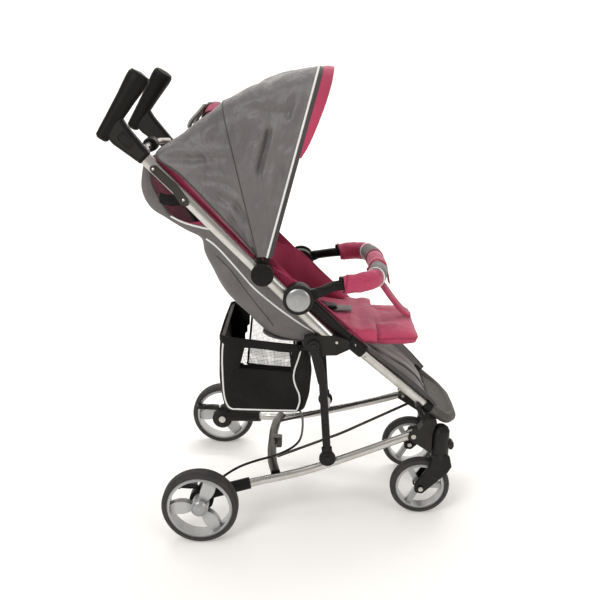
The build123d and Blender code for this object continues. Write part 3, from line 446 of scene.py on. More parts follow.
def puff(piece, cap, voxel=0.005, pressure=4.0, pins=(), pin_radius=0.004):
    """Pads a closed shape with simulated pressure; pins are seam polylines that stay where they are."""
    settle(piece, ("REMESH", {"mode": "VOXEL", "voxel_size": voxel}))
    rest = [v.co.copy() for v in piece.data.vertices]
    normals = [v.normal.copy() for v in piece.data.vertices]
    cloth_modifier = piece.modifiers.new("cloth", "CLOTH")
    settings = cloth_modifier.settings
    settings.use_pressure, settings.uniform_pressure_force = True, pressure
    settings.quality, settings.mass = 4, 0.3
    settings.tension_stiffness = settings.compression_stiffness = 12
    settings.effector_weights.gravity = 0
    if pins:
        group = piece.vertex_groups.new(name="seams")
        held = [i for i, p in enumerate(rest) if any(near(p, line) < pin_radius for line in pins)]
        group.add(held, 1.0, "REPLACE")
        settings.vertex_group_mass = "seams"
    scene = bpy.context.scene
    for step in range(1, 21):
        scene.frame_set(step)
    graph = bpy.context.evaluated_depsgraph_get()
    moved = [v.co.copy() for v in piece.evaluated_get(graph).data.vertices]
    piece.modifiers.clear()
    piece.vertex_groups.clear()
    scene.frame_set(1)
    for vertex, start, end, normal in zip(piece.data.vertices, rest, moved, normals):
        shift = end - start
        shift *= min(1.0, cap / max(shift.length, 1e-9))
        vertex.co = start + 0.3 * shift + 0.7 * normal * max(0.0, shift.dot(normal))
    return settle(piece, ("SMOOTH", {"factor": 0.5, "iterations": 3}), ("SUBSURF", {"levels": 1}))


def near(point, line):
    """Distance from a point to a polyline."""
    best = 1e9
    for a, b in zip(line, line[1:]):
        run = b - a
        share = max(0.0, min(1.0, (point - a).dot(run) / run.length_squared))
        best = min(best, (point - a - run * share).length)
    return best


def drape(piece, amount, scale, seed, free=None):
    """Slow folds: moves points along their normals; free(point) is the share of the movement allowed there."""
    normals = [v.normal.copy() for v in piece.data.vertices]
    stretch = Vector(scale)
    for vertex, normal in zip(piece.data.vertices, normals):
        place = Vector(a * b for a, b in zip(vertex.co, stretch)) + Vector((seed, seed, seed))
        share = 1.0 if free is None else free(vertex.co)
        vertex.co += normal * amount * share * (noise.noise(place) + 0.4 * noise.noise(place * 2.3))
    piece.data.update()
    return piece


def surface(piece):
    """A piece's faces, ready for nearest point and ray queries."""
    return BVHTree.FromPolygons([v.co for v in piece.data.vertices], [p.vertices for p in piece.data.polygons])


def on_side(piece, points, side, lift=0.001):
    """Points laid on a piece's outer face, as seen from one side."""
    tree = surface(piece)
    laid = []
    for x, z in points:
        hit = tree.ray_cast(Vector((x, side * 0.5, z)), Vector((0, -side, 0)))[0]
        if hit is None:
            hit = tree.find_nearest(Vector((x, side * 0.14, z)))[0]
        laid.append(Vector((x, hit.y + side * lift, z)))
    return laid


def sheet(piece, thickness=0.0014):
    """Thickens a sheet."""
    thicken(piece, thickness)
    return piece


def cushion(name, origin, along, across, sizes, material, crown=0.5, base=0.5, taper=1.0):
    """Closed pad: length along, width across and thickness, with sides pulled in between its corners."""
    length, width, thick = sizes
    along, across = Vector(along).normalized(), Vector(across).normalized()
    up = along.cross(across)
    if up.z < 0:
        up.negate()
    steps, rows_top, rows_low = 27, [], []
    for i in range(steps):
        u = -1 + 2 * i / (steps - 1)
        top, low = [], []
        for j in range(steps):
            v = -1 + 2 * j / (steps - 1)
            a, b = u * (1 - 0.035 * (1 - v * v) * abs(u)), v * (1 - 0.03 * (1 - u * u) * abs(v))
            corner = max(0.0, abs(u) * abs(v)) ** 8 * 0.06
            a, b = a * (1 - corner), b * (1 - corner)
            narrow = 1 + (taper - 1) * (u + 1) / 2
            middle = Vector(origin) + along * a * length / 2 + across * b * narrow * width / 2
            height = thick * ((1 - u ** 6) * (1 - v ** 6)) ** 0.5
            top.append(middle + up * height * crown)
            low.append(middle - up * height * base)
        rows_top.append(top)
        rows_low.append(low)
    shape = lattice(name, rows_top, material)
    under = lattice(name + "_under", rows_low, material)
    for face in under.data.polygons:
        face.flip()
    piece = join(name, [shape, under])
    body = bmesh.new()
    body.from_mesh(piece.data)
    bmesh.ops.remove_doubles(body, verts=body.verts, dist=0.0002)
    bmesh.ops.recalc_face_normals(body, faces=body.faces)
    body.to_mesh(piece.data)
    body.free()
    return piece


def cling(piece, points, lift=0.0005):
    """Points brought onto the nearest outside of a piece."""
    tree = surface(piece)
    laid = []
    for p in points:
        place, normal = tree.find_nearest(p)[:2]
        laid.append(place + normal * lift)
    return laid


def stitches(name, points, material, dash=0.0028, gap=0.0020, radius=0.0004):
    """A row of stitches along points."""
    length = sum((b - a).length for a, b in zip(points, points[1:]))
    count = int(length / (dash + gap))
    made = []
    for i in range(count):
        start = i * (dash + gap) / length
        made.append(tube(f"{name}_{i}", [point_at(points, start), point_at(points, start + dash / length)], radius,
                         material, 5))
    return join(name, made)


def both(maker):
    """Runs maker for the left side, +1, and the right side, -1."""
    for word, side in SIDES:
        maker(word, side)


# ---- canopy --------------------------------------------------------------------------------------
CANOPY_PIVOT = Vector((-0.0485, 0, 0.597))
MID_TILT, FRONT_TILT = math.radians(-13.6), math.radians(15.1)
ARCH_BASE, ARCH_CORNER, ARCH_POINTS = 0.040, 0.062, 97
MID_ARCH, FRONT_ARCH = (0.189, 0.158, 0.362), (0.189, 0.176, 0.439)  # half width low, half width high, height


def arch(tilt, sizes, grow=0.0, count=ARCH_POINTS):
    """Points over one bow, from the right hub to the left."""
    low, high, top = sizes
    low, high, top = low + grow, high + grow, top + grow
    corner = Vector((high, top))
    down = (Vector((low, ARCH_BASE)) - corner).normalized()
    start, end = corner + down * ARCH_CORNER, corner + Vector((-ARCH_CORNER, 0))
    flat = [Vector((low, ARCH_BASE)), *(start.lerp(corner, t).lerp(corner.lerp(end, t), t)
                                        for t in (k / 12 for k in range(13))), Vector((0, top))]
    half = [CANOPY_PIVOT + Vector((math.sin(tilt) * p.y, -p.x, math.cos(tilt) * p.y)) for p in flat]
    return resample(half + [Vector((p.x, -p.y, p.z)) for p in reversed(half[:-1])], count)


REAR_HALF = [(-0.064, -0.188, 0.643), (-0.094, -0.184, 0.678), (-0.155, -0.175, 0.741), (-0.218, -0.163, 0.803),
             (-0.266, -0.150, 0.835), (-0.268, -0.128, 0.850), (-0.246, -0.095, 0.866), (-0.218, -0.045, 0.880),
             (-0.208, 0.0, 0.884)]
REAR_EDGE = smooth(mirrored(REAR_HALF), ARCH_POINTS)
MID_EDGE, FRONT_EDGE = arch(MID_TILT, MID_ARCH, 0.001), arch(FRONT_TILT, FRONT_ARCH, 0.001)

# creases of the side panels, as (x, z) runs, with depth and half width
CREASES = [
    (((-0.262, 0.836), (-0.175, 0.836)), 0.0060, 0.009), (((-0.175, 0.836), (-0.128, 0.842)), 0.0050, 0.007),
    (((-0.203, 0.795), (-0.130, 0.790), (-0.103, 0.773)), 0.0040, 0.006),
    (((-0.170, 0.815), (-0.135, 0.812)), 0.0045, 0.007),
    (((-0.034, 0.892), (-0.057, 0.812)), 0.0065, 0.007), (((-0.019, 0.873), (0.012, 0.862)), 0.0045, 0.006),
    (((-0.161, 0.874), (-0.150, 0.892), (-0.122, 0.900)), 0.0050, 0.006),
    (((-0.103, 0.747), (-0.078, 0.708)), 0.0040, 0.007), (((-0.118, 0.720), (-0.085, 0.665)), 0.0035, 0.006),
    (((-0.019, 0.679), (-0.034, 0.655)), 0.0035, 0.006), (((0.004, 0.925), (0.014, 0.958)), 0.0040, 0.007),
    (((-0.118, 0.932), (-0.060, 0.938), (0.004, 0.930)), 0.0035, 0.008),
    (((-0.010, 0.820), (-0.020, 0.752)), 0.0030, 0.010), (((-0.160, 0.770), (-0.105, 0.742)), 0.0035, 0.008),
]

CREASE_GAIN, WAVE_DEPTH = 1.5, 0.0055


def creased(point, normal, extra=1.0):
    """Moves a canopy point along its normal by the creases and the cloth's slow waves."""
    side = min(1.0, abs(normal.y) * 1.3)
    push = 0.0
    for run, depth, half in CREASES:
        flat_run = [Vector((x, 0, z)) for x, z in run]
        gap = near(Vector((point.x, 0, point.z)), flat_run) / half
        push += depth * (math.exp(-(gap - 1.5) ** 2) * 0.55 - math.exp(-gap * gap)) * side
    push *= CREASE_GAIN
    push += WAVE_DEPTH * noise.noise(Vector((point.x * 9, point.y * 5, point.z * 11)))
    bent = point + Vector((0.03, 0, 0.02)) * noise.noise(point * 12)
    for pitch, depth in ((24, 0.0034), (48, 0.0018)):
        ridge = abs(noise.noise(Vector((bent.x * pitch + 5, bent.y * pitch * 0.5, bent.z * pitch * 0.62))))
        push -= depth * max(0.0, 1 - ridge * 3.2)
    return point + normal * push * extra


def canopy_sheet(name, first, last, bulge, count):
    """Cloth between two bows, taut along them and creased between."""
    rows = []
    for i in range(count):
        t = i / (count - 1)
        hold = math.sin(math.pi * t)
        row = [a.lerp(b, t) for a, b in zip(first, last)]
        made = []
        for j, p in enumerate(row):
            along = row[min(j + 1, len(row) - 1)] - row[max(j - 1, 0)]
            normal = along.cross(last[j] - first[j]).normalized()
            if normal.dot(p - CANOPY_PIVOT) < 0:
                normal.negate()
            roof = max(0.0, normal.z)
            made.append(creased(p + normal * hold * (bulge * roof - 0.006 * (1 - roof)), normal, hold ** 0.6))
        rows.append(made)
    return lattice(name, rows, GREY)


canopy_rear = canopy_sheet("canopy_rear_cover", REAR_EDGE, MID_EDGE, 0.004, 26)
canopy_front = canopy_sheet("canopy_front_cover", MID_EDGE, FRONT_EDGE, 0.014, 38)
# Cut widths run 9 mm at the hubs, 170 at the corners (0.30 m along) and 99 in the middle.
sheet(canopy_rear)
# Cut widths run 20 mm at the hubs and 211 from the corners (0.36 m along) to the middle.
sheet(canopy_front)
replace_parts(canopy_rear, "canopy_panel_rear")
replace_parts(canopy_front, "canopy_panel_front")
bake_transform(canopy_rear)
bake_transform(canopy_front)


def edge_offset(points, outward):
    """Points moved away from the canopy's pivot line by a distance."""
    return [p + (p - Vector((CANOPY_PIVOT.x, 0, CANOPY_PIVOT.z))).normalized() * outward for p in points]


def ahead(points, distance):
    """Points of the front edge moved forward, square to the front bow's plane."""
    step = Vector((math.cos(FRONT_TILT), 0, -math.sin(FRONT_TILT))) * distance
    return [p + step for p in points]


front_band = thicken(lattice("canopy_front_binding", [ahead(FRONT_EDGE, d) for d in (-0.001, 0.0035, 0.007, 0.011)],
                             DARK_GREY), 0.003)
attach(front_band, "canopy_front")
front_piping = tube("canopy_front_piping", edge_offset(FRONT_EDGE, 0.001), 0.0023, WHITE_CORD)
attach(front_piping, "canopy_front")
seam = tube("canopy_mid_seam", edge_offset(MID_EDGE, 0.0006), 0.0013, DARK_GREY, 8)
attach(seam, "canopy_mid")
rear_hem = tube("canopy_rear_hem", REAR_EDGE, 0.0022, DARK_GREY, 8)
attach(rear_hem, "frame")

VISOR_POINTS = 61
VISOR_HALF = [(0.030, -0.181, 0.842), (0.048, -0.179, 0.872), (0.074, -0.170, 0.935), (0.090, -0.150, 0.985),
              (0.096, -0.118, 1.015), (0.0975, -0.06, 1.020), (0.098, 0.0, 1.0205)]
visor_edge = smooth(mirrored(VISOR_HALF), VISOR_POINTS)
VISOR_FROM_Z, VISOR_AHEAD = 0.836, 0.009
low = next(i for i, p in enumerate(FRONT_EDGE) if p.z > VISOR_FROM_Z)
visor_root = ahead(resample(FRONT_EDGE[low:len(FRONT_EDGE) - low], VISOR_POINTS), VISOR_AHEAD)
visor = thicken(lattice("visor_cover", [[a.lerp(b, t) + Vector((0, 0, 0.002 * math.sin(math.pi * t)))
                                         for a, b in zip(visor_root, visor_edge)] for t in
                                        (k / 6 for k in range(7))], PINK), 0.0022)
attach(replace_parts(visor, "visor"), "canopy_front")
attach(tube("visor_hem", visor_edge, 0.0015, PINK, 8), "canopy_front")

# ---- rear rolled flap of the canopy ------------------------------------------------------------------
ROLL_AT, ROLL_HALF, ROLL_R = Vector((-0.166, 0, 0.927)), 0.080, 0.0185
roll_points = smooth([ROLL_AT + Vector((0.004 * abs(k) / 3, k * ROLL_HALF / 3, -0.016 * (k / 3) ** 2))
                      for k in range(-3, 4)], 33)
roll = tube("rear_flap_roll", roll_points, lambda t: ROLL_R + 0.001 * math.sin(9 * t), DEEP_PINK, 20, 0.85)
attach(drape(roll, 0.002, (30, 30, 30), 3.0), "frame")
for k, share in enumerate((0, 10, 22, 32)):
    ring = [roll_points[share] + Vector((math.cos(a), 0, 0.85 * math.sin(a))) * (ROLL_R + 0.0006)
            for a in turns(28, shut=True)]
    hoop = tube(f"rear_flap_edging_{k}", ring, 0.0026, BLACK_CLOTH if k in (0, 3) else DARK_GREY, 8)
    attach(hoop, "frame")
for word, side in SIDES:
    line = smooth([ROLL_AT + Vector((x, side * 0.045, z)) for x, z in
                   ((-0.012, 0.014), (-0.022, 0.002), (-0.033, -0.010), (-0.043, -0.021), (-0.050, -0.036))], 16)
    tab = strap(f"rear_flap_tab_{word}", line, (0, 1, 0), 0.026, 0.0075, TAB_GREY)
    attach(tab, "frame")
LINING_FROM, LINING_TO = Vector((-0.278, 0.1385, 0.838)), Vector((-0.052, 0.1505, 0.612))
for word, side in SIDES:
    edge = [p.copy() for p in resample([Vector((x, -y, z)) for x, y, z in REAR_HALF[:5]], 25)]
    rows = []
    for i, top in enumerate(reversed(edge)):
        low = LINING_FROM.lerp(LINING_TO, i / 24)
        rows.append([Vector((p.x, side * p.y, p.z)) for p in
                     (top.lerp(low, k / 6) - Vector((0, 0.006 * math.sin(math.pi * k / 6) + 0.003, 0.001))
                      for k in range(7))])
    curtain = drape(lattice(f"canopy_side_lining_{word}", rows, DEEP_PINK), 0.002, (30, 10, 30), 2.0)
    sheet(curtain, 0.0016)
    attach(curtain, "frame")

# ---- hammock and lining ------------------------------------------------------------------------------
BACK_LINE = [(-0.300, 0.826), (-0.3055, 0.800), (-0.306, 0.766), (-0.287, 0.727), (-0.248, 0.700), (-0.2136, 0.679),
             (-0.1854, 0.661), (-0.179, 0.632), (-0.1654, 0.599), (-0.1448, 0.558), (-0.1164, 0.521),
             (-0.084, 0.488), (-0.0405, 0.450), (-0.006, 0.437), (0.028, 0.433), (0.056, 0.434)]
TIP_LINE = [(-0.284, 0.829), (-0.287, 0.803), (-0.283, 0.775), (-0.266, 0.741), (-0.246, 0.713), (-0.205, 0.696),
            (-0.152, 0.690), (-0.112, 0.656), (-0.078, 0.623), (-0.044, 0.590), (-0.010, 0.556), (0.024, 0.523),
            (0.056, 0.491), (0.072, 0.475), (0.082, 0.466), (0.088, 0.460)]
FREE_STATIONS = 5  # stations above the side panel, where only the back panel stands
TUBE_FROM, TUBE_TO = Vector((-0.292, 0.147, 0.834)), Vector((0.095, 0.168, 0.453))
TUBE_UP = Vector((0.7016, 0.7126))  # x and z of the way up from the side tube


def tube_y(x):
    """Distance of the side tube's middle line from the middle of the machine."""
    return TUBE_FROM.y + (x - TUBE_FROM.x) / (TUBE_TO.x - TUBE_FROM.x) * (TUBE_TO.y - TUBE_FROM.y)


def through(points, t):
    """Point of a smooth curve at index t of its points."""
    i = min(int(t), len(points) - 2)
    f = t - i
    p0, p1, p2, p3 = (Vector(points[max(0, min(len(points) - 1, k))]) for k in (i - 1, i, i + 1, i + 2))
    return 0.5 * (2 * p1 + (p2 - p0) * f + (2 * p0 - 5 * p1 + 4 * p2 - p3) * f * f
                  + (3 * p1 - p0 - 3 * p2 + p3) * f ** 3)


def shell_rows(inset, lift, half, stations=61, count=57):
    """Rows of the hammock's shell: from the right tube down, behind the backrest and up to the left tube."""
    rows = []
    for i in range(stations):
        t = i / (stations - 1) * (len(BACK_LINE) - 1)
        back, tip = through(BACK_LINE, t), through(TIP_LINE, t)
        inward = (tip - back).normalized()
        back = back + inward * inset
        rise = max(0.0, min(1.0, t - FREE_STATIONS))
        above = lift if t < 11 else lift * max(0.0, 12 - t)
        tip = tip + TUBE_UP * above * rise
        edge = (tube_y(tip.x) - 0.0105 - inset * 0.5) * rise + (half - 0.004) * (1 - rise)
        profile = [(0, edge), (0.28, 0.55 * edge + 0.45 * half), (0.6, half + 0.001), (0.84, half - 0.002),
                   (0.955, half - 0.012), (1.0, half - 0.034), (1.015, half * 0.45), (1.02, 0)]
        across = [(tip.lerp(back, share), y) for share, y in profile]
        right = [Vector((p.x, -y, p.y)) for p, y in across]
        left = [Vector((p.x, -p.y, p.z)) for p in reversed(right[:-1])]
        rows.append(smooth(right + left, count, 6))
    return rows


def hang(point):
    """Share of the folds' depth: none where the cloth is held by the tube."""
    off = (Vector((point.x, point.z)) - Vector((TUBE_FROM.x, TUBE_FROM.z))).dot(-TUBE_UP)
    return max(0.0, min(1.0, (off - 0.012) / 0.03))


hammock = drape(lattice("hammock_cover", shell_rows(0.0, 0.0, 0.139), SIDE_GREY), 0.0055, (11, 7, 7), 2.0, hang)
lining = drape(lattice("seat_lining", shell_rows(0.006, 0.036, 0.134), DEEP_PINK), 0.004, (14, 9, 9), 5.0, hang)
PIPING_RUNS = {
    "upper": [(-0.2467, 0.712), (-0.228, 0.702), (-0.205, 0.694), (-0.180, 0.6885), (-0.163, 0.686)],
    "side": [(-0.172, 0.664), (-0.158, 0.655), (-0.139, 0.637), (-0.1005, 0.5935), (-0.072, 0.560), (-0.040, 0.531),
             (-0.0146, 0.511), (0.010, 0.494), (0.040, 0.474), (0.074, 0.453)],
}
# path of the painted shade of a pleat on the hammock's side, as (x, z) points
PLEAT_SHADE_RUN = [(-0.150, 0.626), (-0.120, 0.596), (-0.092, 0.556), (-0.066, 0.520), (-0.040, 0.487), (-0.028, 0.470)]


def hammock_trim(word, side):
    """White piping on the hammock's side, and a thin dark tube painted as the shade in a pleat below it."""
    for run_name, run in PIPING_RUNS.items():
        flat = smooth([(x, 0, z) for x, z in run], 40)
        line = on_side(hammock, [(p.x, p.z) for p in flat], side, 0.0012)
        piece = tube(f"hammock_piping_{run_name}_{word}", line, 0.0021, WHITE_CORD)
        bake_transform(piece)
    # painted shade: the dark tube stands in for the shade in the fold of a pleat
    flat = smooth([(x, 0, z) for x, z in PLEAT_SHADE_RUN], 30)
    piece = tube(f"hammock_pleat_shade_{word}", on_side(hammock, [(p.x, p.z) for p in flat], side, 0.0002), 0.0016,
                 DARK_GREY, 8)
    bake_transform(piece)


both(hammock_trim)
rows = shell_rows(0.002, 0.0, 0.139)
top_edge = thicken(lattice("hammock_top_binding", [[p + Vector((0.002, 0, dz)) for p in rows[0]]
                                                   for dz in (-0.008, 0.0, 0.004)], DARK_GREY), 0.004)
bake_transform(top_edge)
for word, column in (("right", 0), ("left", -1)):
    edge_line = [row[column] for row in rows[:19]]
    piece = tube(f"head_opening_binding_{word}", edge_line, 0.0026, DARK_GREY, 8)
    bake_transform(piece)
# Back panel 0.278 x 0.586, two side panels 0.347 x 0.088 on average, two narrow wraps above them.
sheet(hammock, 0.0016)
# The same cut 6 mm inside, with side panels 30 mm deeper.
sheet(lining, 0.0016)
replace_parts(hammock, "hammock")
for piece in (hammock, lining):
    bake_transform(piece)

sling_rows = [[Vector((x, y, z)) for y in (k * 0.135 / 8 for k in range(-8, 9))] for x, z in
              ((-0.052, 0.452), (-0.036, 0.443), (-0.015, 0.435), (0.033, 0.431), (0.090, 0.432), (0.160, 0.434))]
sling = drape(lattice("seat_sling", sling_rows, SIDE_GREY), 0.003, (14, 9, 9), 8.0)
sheet(sling)
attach(sling, "frame")

WING_TOP = [(-0.066, 0.640, 0.1475), (-0.040, 0.612, 0.1475), (0.000, 0.588, 0.1480), (0.034, 0.566, 0.149),
            (0.068, 0.534, 0.147), (0.120, 0.487, 0.140), (0.160, 0.450, 0.137), (0.171, 0.439, 0.136)]
WING_LOW = [(-0.052, 0.475, 0.127), (-0.035, 0.468, 0.128), (0.000, 0.462, 0.129), (0.034, 0.460, 0.129),
            (0.068, 0.458, 0.129), (0.110, 0.455, 0.130), (0.150, 0.448, 0.132), (0.163, 0.440, 0.134)]


def wing(word, side):
    """Side wall of the seat between the pad and the beam."""
    rows = []
    for i in range(29):
        t = i / 28 * (len(WING_TOP) - 1)
        top, low = through(WING_TOP, t), through(WING_LOW, t)
        row = []
        for k in range(15):
            share = k / 14
            p = top.lerp(low, share)
            belly = 0.010 * math.sin(math.pi * share)
            row.append(Vector((p.x, side * (p.z - belly), p.y)))
        rows.append(row)
    piece = lattice(f"seat_wing_{word}", rows, PINK)
    drape(piece, 0.0045, (22, 6, 9), 4.0 + side, lambda p: max(0.0, min(1.0, (0.15 - abs(p.y)) / 0.008)))
    sheet(piece, 0.0022)
    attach(piece, "frame")
    hem = tube(f"seat_wing_hem_{word}", [row[0] for row in rows], 0.0019, PINK, 8)
    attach(hem, "frame")


both(wing)

# ---- padded pieces -----------------------------------------------------------------------------------
BACK_PIVOT = Vector((-0.052, 0, 0.452))
BACK_UP = Vector((-math.cos(math.radians(59.5)), 0, math.sin(math.radians(59.5))))
BACK_OUT = Vector((BACK_UP.z, 0, -BACK_UP.x))


def on_back(up, y, out):
    """Point on the backrest: distance up from the pivot, across, and in front of the board."""
    return BACK_PIVOT + BACK_UP * up + BACK_OUT * out + Vector((0, y, 0))


backrest = cushion("backrest_cushion", on_back(0.222, 0, 0.011), BACK_UP, (0, 1, 0), (0.362, 0.238, 0.013), PINK)
channels = [[on_back(up, y, 0.018) for y in (-0.12, 0.12)] for up in (0.13, 0.29)]
channels += [[on_back(up, y, 0.018) for up in (0.05, 0.39)] for y in (-0.066, 0.066)]
puff(backrest, 0.006, pins=channels)
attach(backrest, "backrest")
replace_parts(backrest, "backrest_pad")
headrest = cushion("head_pad", on_back(0.338, 0, 0.026), BACK_UP, (0, 1, 0), (0.110, 0.186, 0.010), SIDE_GREY)
puff(headrest, 0.005)
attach(headrest, "backrest")

seat = cushion("seat_cushion", (0.0685, 0, 0.4535), (1, 0, 0), (0, 1, 0), (0.199, 0.266, 0.018), PINK)
puff(seat, 0.006, pins=[[Vector((-0.02, y, 0.461)), Vector((0.15, y, 0.461))] for y in (-0.07, 0.07)])
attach(seat, "frame")
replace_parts(seat, "seat_pad")

legrest = cushion("legrest_cushion", (0.2345, 0, 0.4365), (1, 0, 0), (0, 1, 0), (0.133, 0.268, 0.030), PINK, taper=0.92)
leg_seams = [[Vector((0.215, y, 0.449)), Vector((0.29, y, 0.449))] for y in (-0.045, 0.045)]
puff(legrest, 0.007, pins=leg_seams)
drape(legrest, 0.0013, (85, 16, 85), 3.0)
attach(legrest, "legrest")
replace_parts(legrest, "legrest_pad")
leg_outline = [Vector((0.2345 + 0.064 * a, 0.132 * b * (1 - 0.09 * (a + 1) / 2), 0.4375)) for a, b in
               ((-1, -1), (0, -1), (0.9, -0.985), (1, -0.9), (1.0, 0), (1, 0.9), (0.9, 0.985), (0, 1), (-1, 1))]
welt = tube("legrest_welt", cling(legrest, smooth(leg_outline, 80)), 0.0019, DEEP_PINK, 8)
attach(welt, "legrest")

KNEE_LINE = [(0.136, 0.459), (0.148, 0.4615), (0.160, 0.459), (0.168, 0.457), (0.178, 0.459), (0.190, 0.4595),
             (0.203, 0.4565)]
KNEE_ACROSS = [(-0.1335, -0.026), (-0.1345, -0.014), (-0.132, -0.004), (-0.122, 0.0), (-0.06, 0.0005), (0, 0.001)]
KNEE_ACROSS += [(-y, z) for y, z in KNEE_ACROSS[-2::-1]]
knee_rows = [smooth([Vector((p.x, y, p.z + z)) for y, z in KNEE_ACROSS], 45)
             for p in smooth([(x, 0, z) for x, z in KNEE_LINE], 17)]
knee = drape(lattice("knee_gusset", knee_rows, PINK), 0.0014, (40, 22, 40), 6.0)
sheet(knee, 0.0024)
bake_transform(knee)

# ---- harness -----------------------------------------------------------------------------------------
SEAT_TOP = 0.468
buckle = cushion("harness_buckle", (0.098, 0, SEAT_TOP + 0.007), (1, 0, 0), (0, 1, 0), (0.040, 0.036, 0.011), PLASTIC)
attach(settle(buckle, ("SUBSURF", {"levels": 1})), "frame")
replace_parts(buckle, "harness")
crotch_pad = cushion("harness_crotch_pad", (0.131, 0, SEAT_TOP + 0.0035), (1, 0, 0), (0, 1, 0), (0.052, 0.050, 0.006),
                     PALE_GREY)
puff(crotch_pad, 0.004)
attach(crotch_pad, "frame")


def harness_side(word, side):
    """One side's waist belt, shoulder strap and their pads."""
    waist = smooth([(0.090, side * 0.018, SEAT_TOP + 0.006), (0.060, side * 0.060, SEAT_TOP + 0.004),
                    (0.018, side * 0.098, SEAT_TOP + 0.004), (-0.018, side * 0.122, SEAT_TOP + 0.002)], 20)
    belt = strap(f"harness_waist_{word}", waist, (0.6, side * 0.8, 0), 0.024, 0.0016, BLACK_CLOTH)
    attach(belt, "frame")
    pad = cushion(f"harness_waist_pad_{word}", (0.045, side * 0.074, SEAT_TOP + 0.008), (0.75, -side * 0.66, 0),
                  (0.66, side * 0.75, 0), (0.075, 0.038, 0.006), PALE_GREY)
    puff(pad, 0.004)
    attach(pad, "frame")
    line = smooth([on_back(0.305, side * 0.046, 0.031), on_back(0.25, side * 0.048, 0.027),
                   on_back(0.14, side * 0.050, 0.027), on_back(0.07, side * 0.046, 0.032),
                   Vector((0.010, side * 0.036, 0.487)), Vector((0.060, side * 0.020, SEAT_TOP + 0.008)),
                   Vector((0.086, side * 0.012, SEAT_TOP + 0.007))], 50)
    shoulder = strap(f"harness_shoulder_{word}", line, (0, 1, 0), 0.022, 0.0016, BLACK_CLOTH)
    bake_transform(shoulder)
    shoulder_pad = cushion(f"harness_shoulder_pad_{word}", on_back(0.215, side * 0.049, 0.033), BACK_UP, (0, 1, 0),
                           (0.130, 0.044, 0.007), PALE_GREY)
    puff(shoulder_pad, 0.004)
    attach(shoulder_pad, "backrest")


both(harness_side)

# ---- calf panel --------------------------------------------------------------------------------------
CALF_TOP, CALF_LOW = Vector((0.172, 0, 0.409)), Vector((0.333, 0, 0.2635))
CALF_OUT = Vector((0.663, 0, 0.748))


def smooth_step(share):
    """Soft rise from 0 to 1."""
    share = max(0.0, min(1.0, share))
    return share * share * (3 - 2 * share)


calf_rows = []
for i in range(25):
    t = i / 24
    half = 0.1545 - 0.035 * t
    row = []
    for k in range(41):
        v = -1 + 2 * k / 40
        quilt = 0.005 * abs(math.sin(1.5 * math.pi * v)) * math.sin(math.pi * t ** 1.5)
        belly = 0.017 * (1 - v * v) * math.sin(math.pi * t ** 1.8) + 0.0175 * smooth_step((abs(v) - 0.87) / 0.10)
        row.append(CALF_TOP.lerp(CALF_LOW, t) + CALF_OUT * (belly + quilt) + Vector((0, half * v, 0)))
    calf_rows.append(row)
calf = drape(lattice("calf_cover", calf_rows, SIDE_GREY), 0.0025, (16, 12, 16), 6.0,
             lambda p: 1.0 if abs(p.y) < 0.09 else 0.2)
calf_lines = [[row[k] + CALF_OUT * 0.001 for row in calf_rows] for k in (13, 27)]
sheet(calf, 0.004)  # tapers to 0.239 m wide
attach(calf, "frame")
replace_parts(calf, "calf_panel")
for k, line in enumerate(calf_lines + [[row[0] for row in calf_rows], [row[-1] for row in calf_rows]]):
    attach(tube(f"calf_binding_{k}", line, 0.0022 if k < 2 else 0.0042, DARK_GREY, 8), "frame")
band_rows = [[p + CALF_OUT * 0.0028 for p in row[14:27]] for row in calf_rows[2:23]]
calf_band = lattice("calf_light_band", band_rows, PALE_GREY)
sheet(calf_band, 0.002)
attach(calf_band, "frame")

# ---- bumper bar cover and crotch strap -----------------------------------------------------------------
BAR_HALF = [(0.126, 0.1595, 0.5705), (0.150, 0.1585, 0.5735), (0.176, 0.150, 0.5765), (0.192, 0.132, 0.578),
            (0.201, 0.105, 0.579), (0.206, 0.060, 0.579), (0.208, 0.0, 0.579)]
BAR_STEPS = 120
bar_line = smooth(mirrored([(x, -y, z) for x, y, z in BAR_HALF]), BAR_STEPS + 1)


def sleeve_piece(name, first, last, radius, material, swell=0.0015, seed=1.0):
    """One length of the bumper's cover, between two shares of the bar."""
    part = bar_line[round(first * BAR_STEPS):round(last * BAR_STEPS) + 1]
    piece = tube(name, part, lambda t: radius + swell * math.sin(math.pi * t), material, 28, caps=False)
    drape(piece, 0.0022, (60, 45, 60), seed)
    settle(piece, ("SOLIDIFY", {"thickness": 0.0016, "offset": 1.0}), ("SUBSURF", {"levels": 1}))
    return piece


SLEEVE_R = 0.0182
for name, first, last, material, slot_name in (
        ("bumper_cover_right", 0.0, 0.20, PINK, "pink_fabric"),
        ("bumper_band_right", 0.20, 0.375, SIDE_GREY, "grey_fabric"),
        ("bumper_cover_middle", 0.375, 0.625, PINK, "pink_fabric"),
        ("bumper_band_left", 0.625, 0.80, SIDE_GREY, "grey_fabric"),
        ("bumper_cover_left", 0.80, 1.0, PINK, "pink_fabric")):
    piece = sleeve_piece(name, first, last, SLEEVE_R, material, seed=first * 10)
    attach(piece, "bumper")
    if name == "bumper_cover_middle":
        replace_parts(piece, "bumper_sleeve")


def ring_at(name, share, radius, thick, material):
    """Piping or hem ring round the bumper bar at a share of its length, leaning a little."""
    i = max(1, min(BAR_STEPS - 1, round(share * BAR_STEPS)))
    along = (bar_line[i + 1] - bar_line[i - 1]).normalized()
    across = Vector((0, 0, 1)).cross(along).normalized()
    upward = along.cross(across)
    ring = [bar_line[i] + (across * math.cos(a) + upward * math.sin(a)) * radius + along * 0.006 * math.sin(a)
            for a in turns(28, shut=True)]
    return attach(tube(name, ring, thick, material, 8), "bumper")


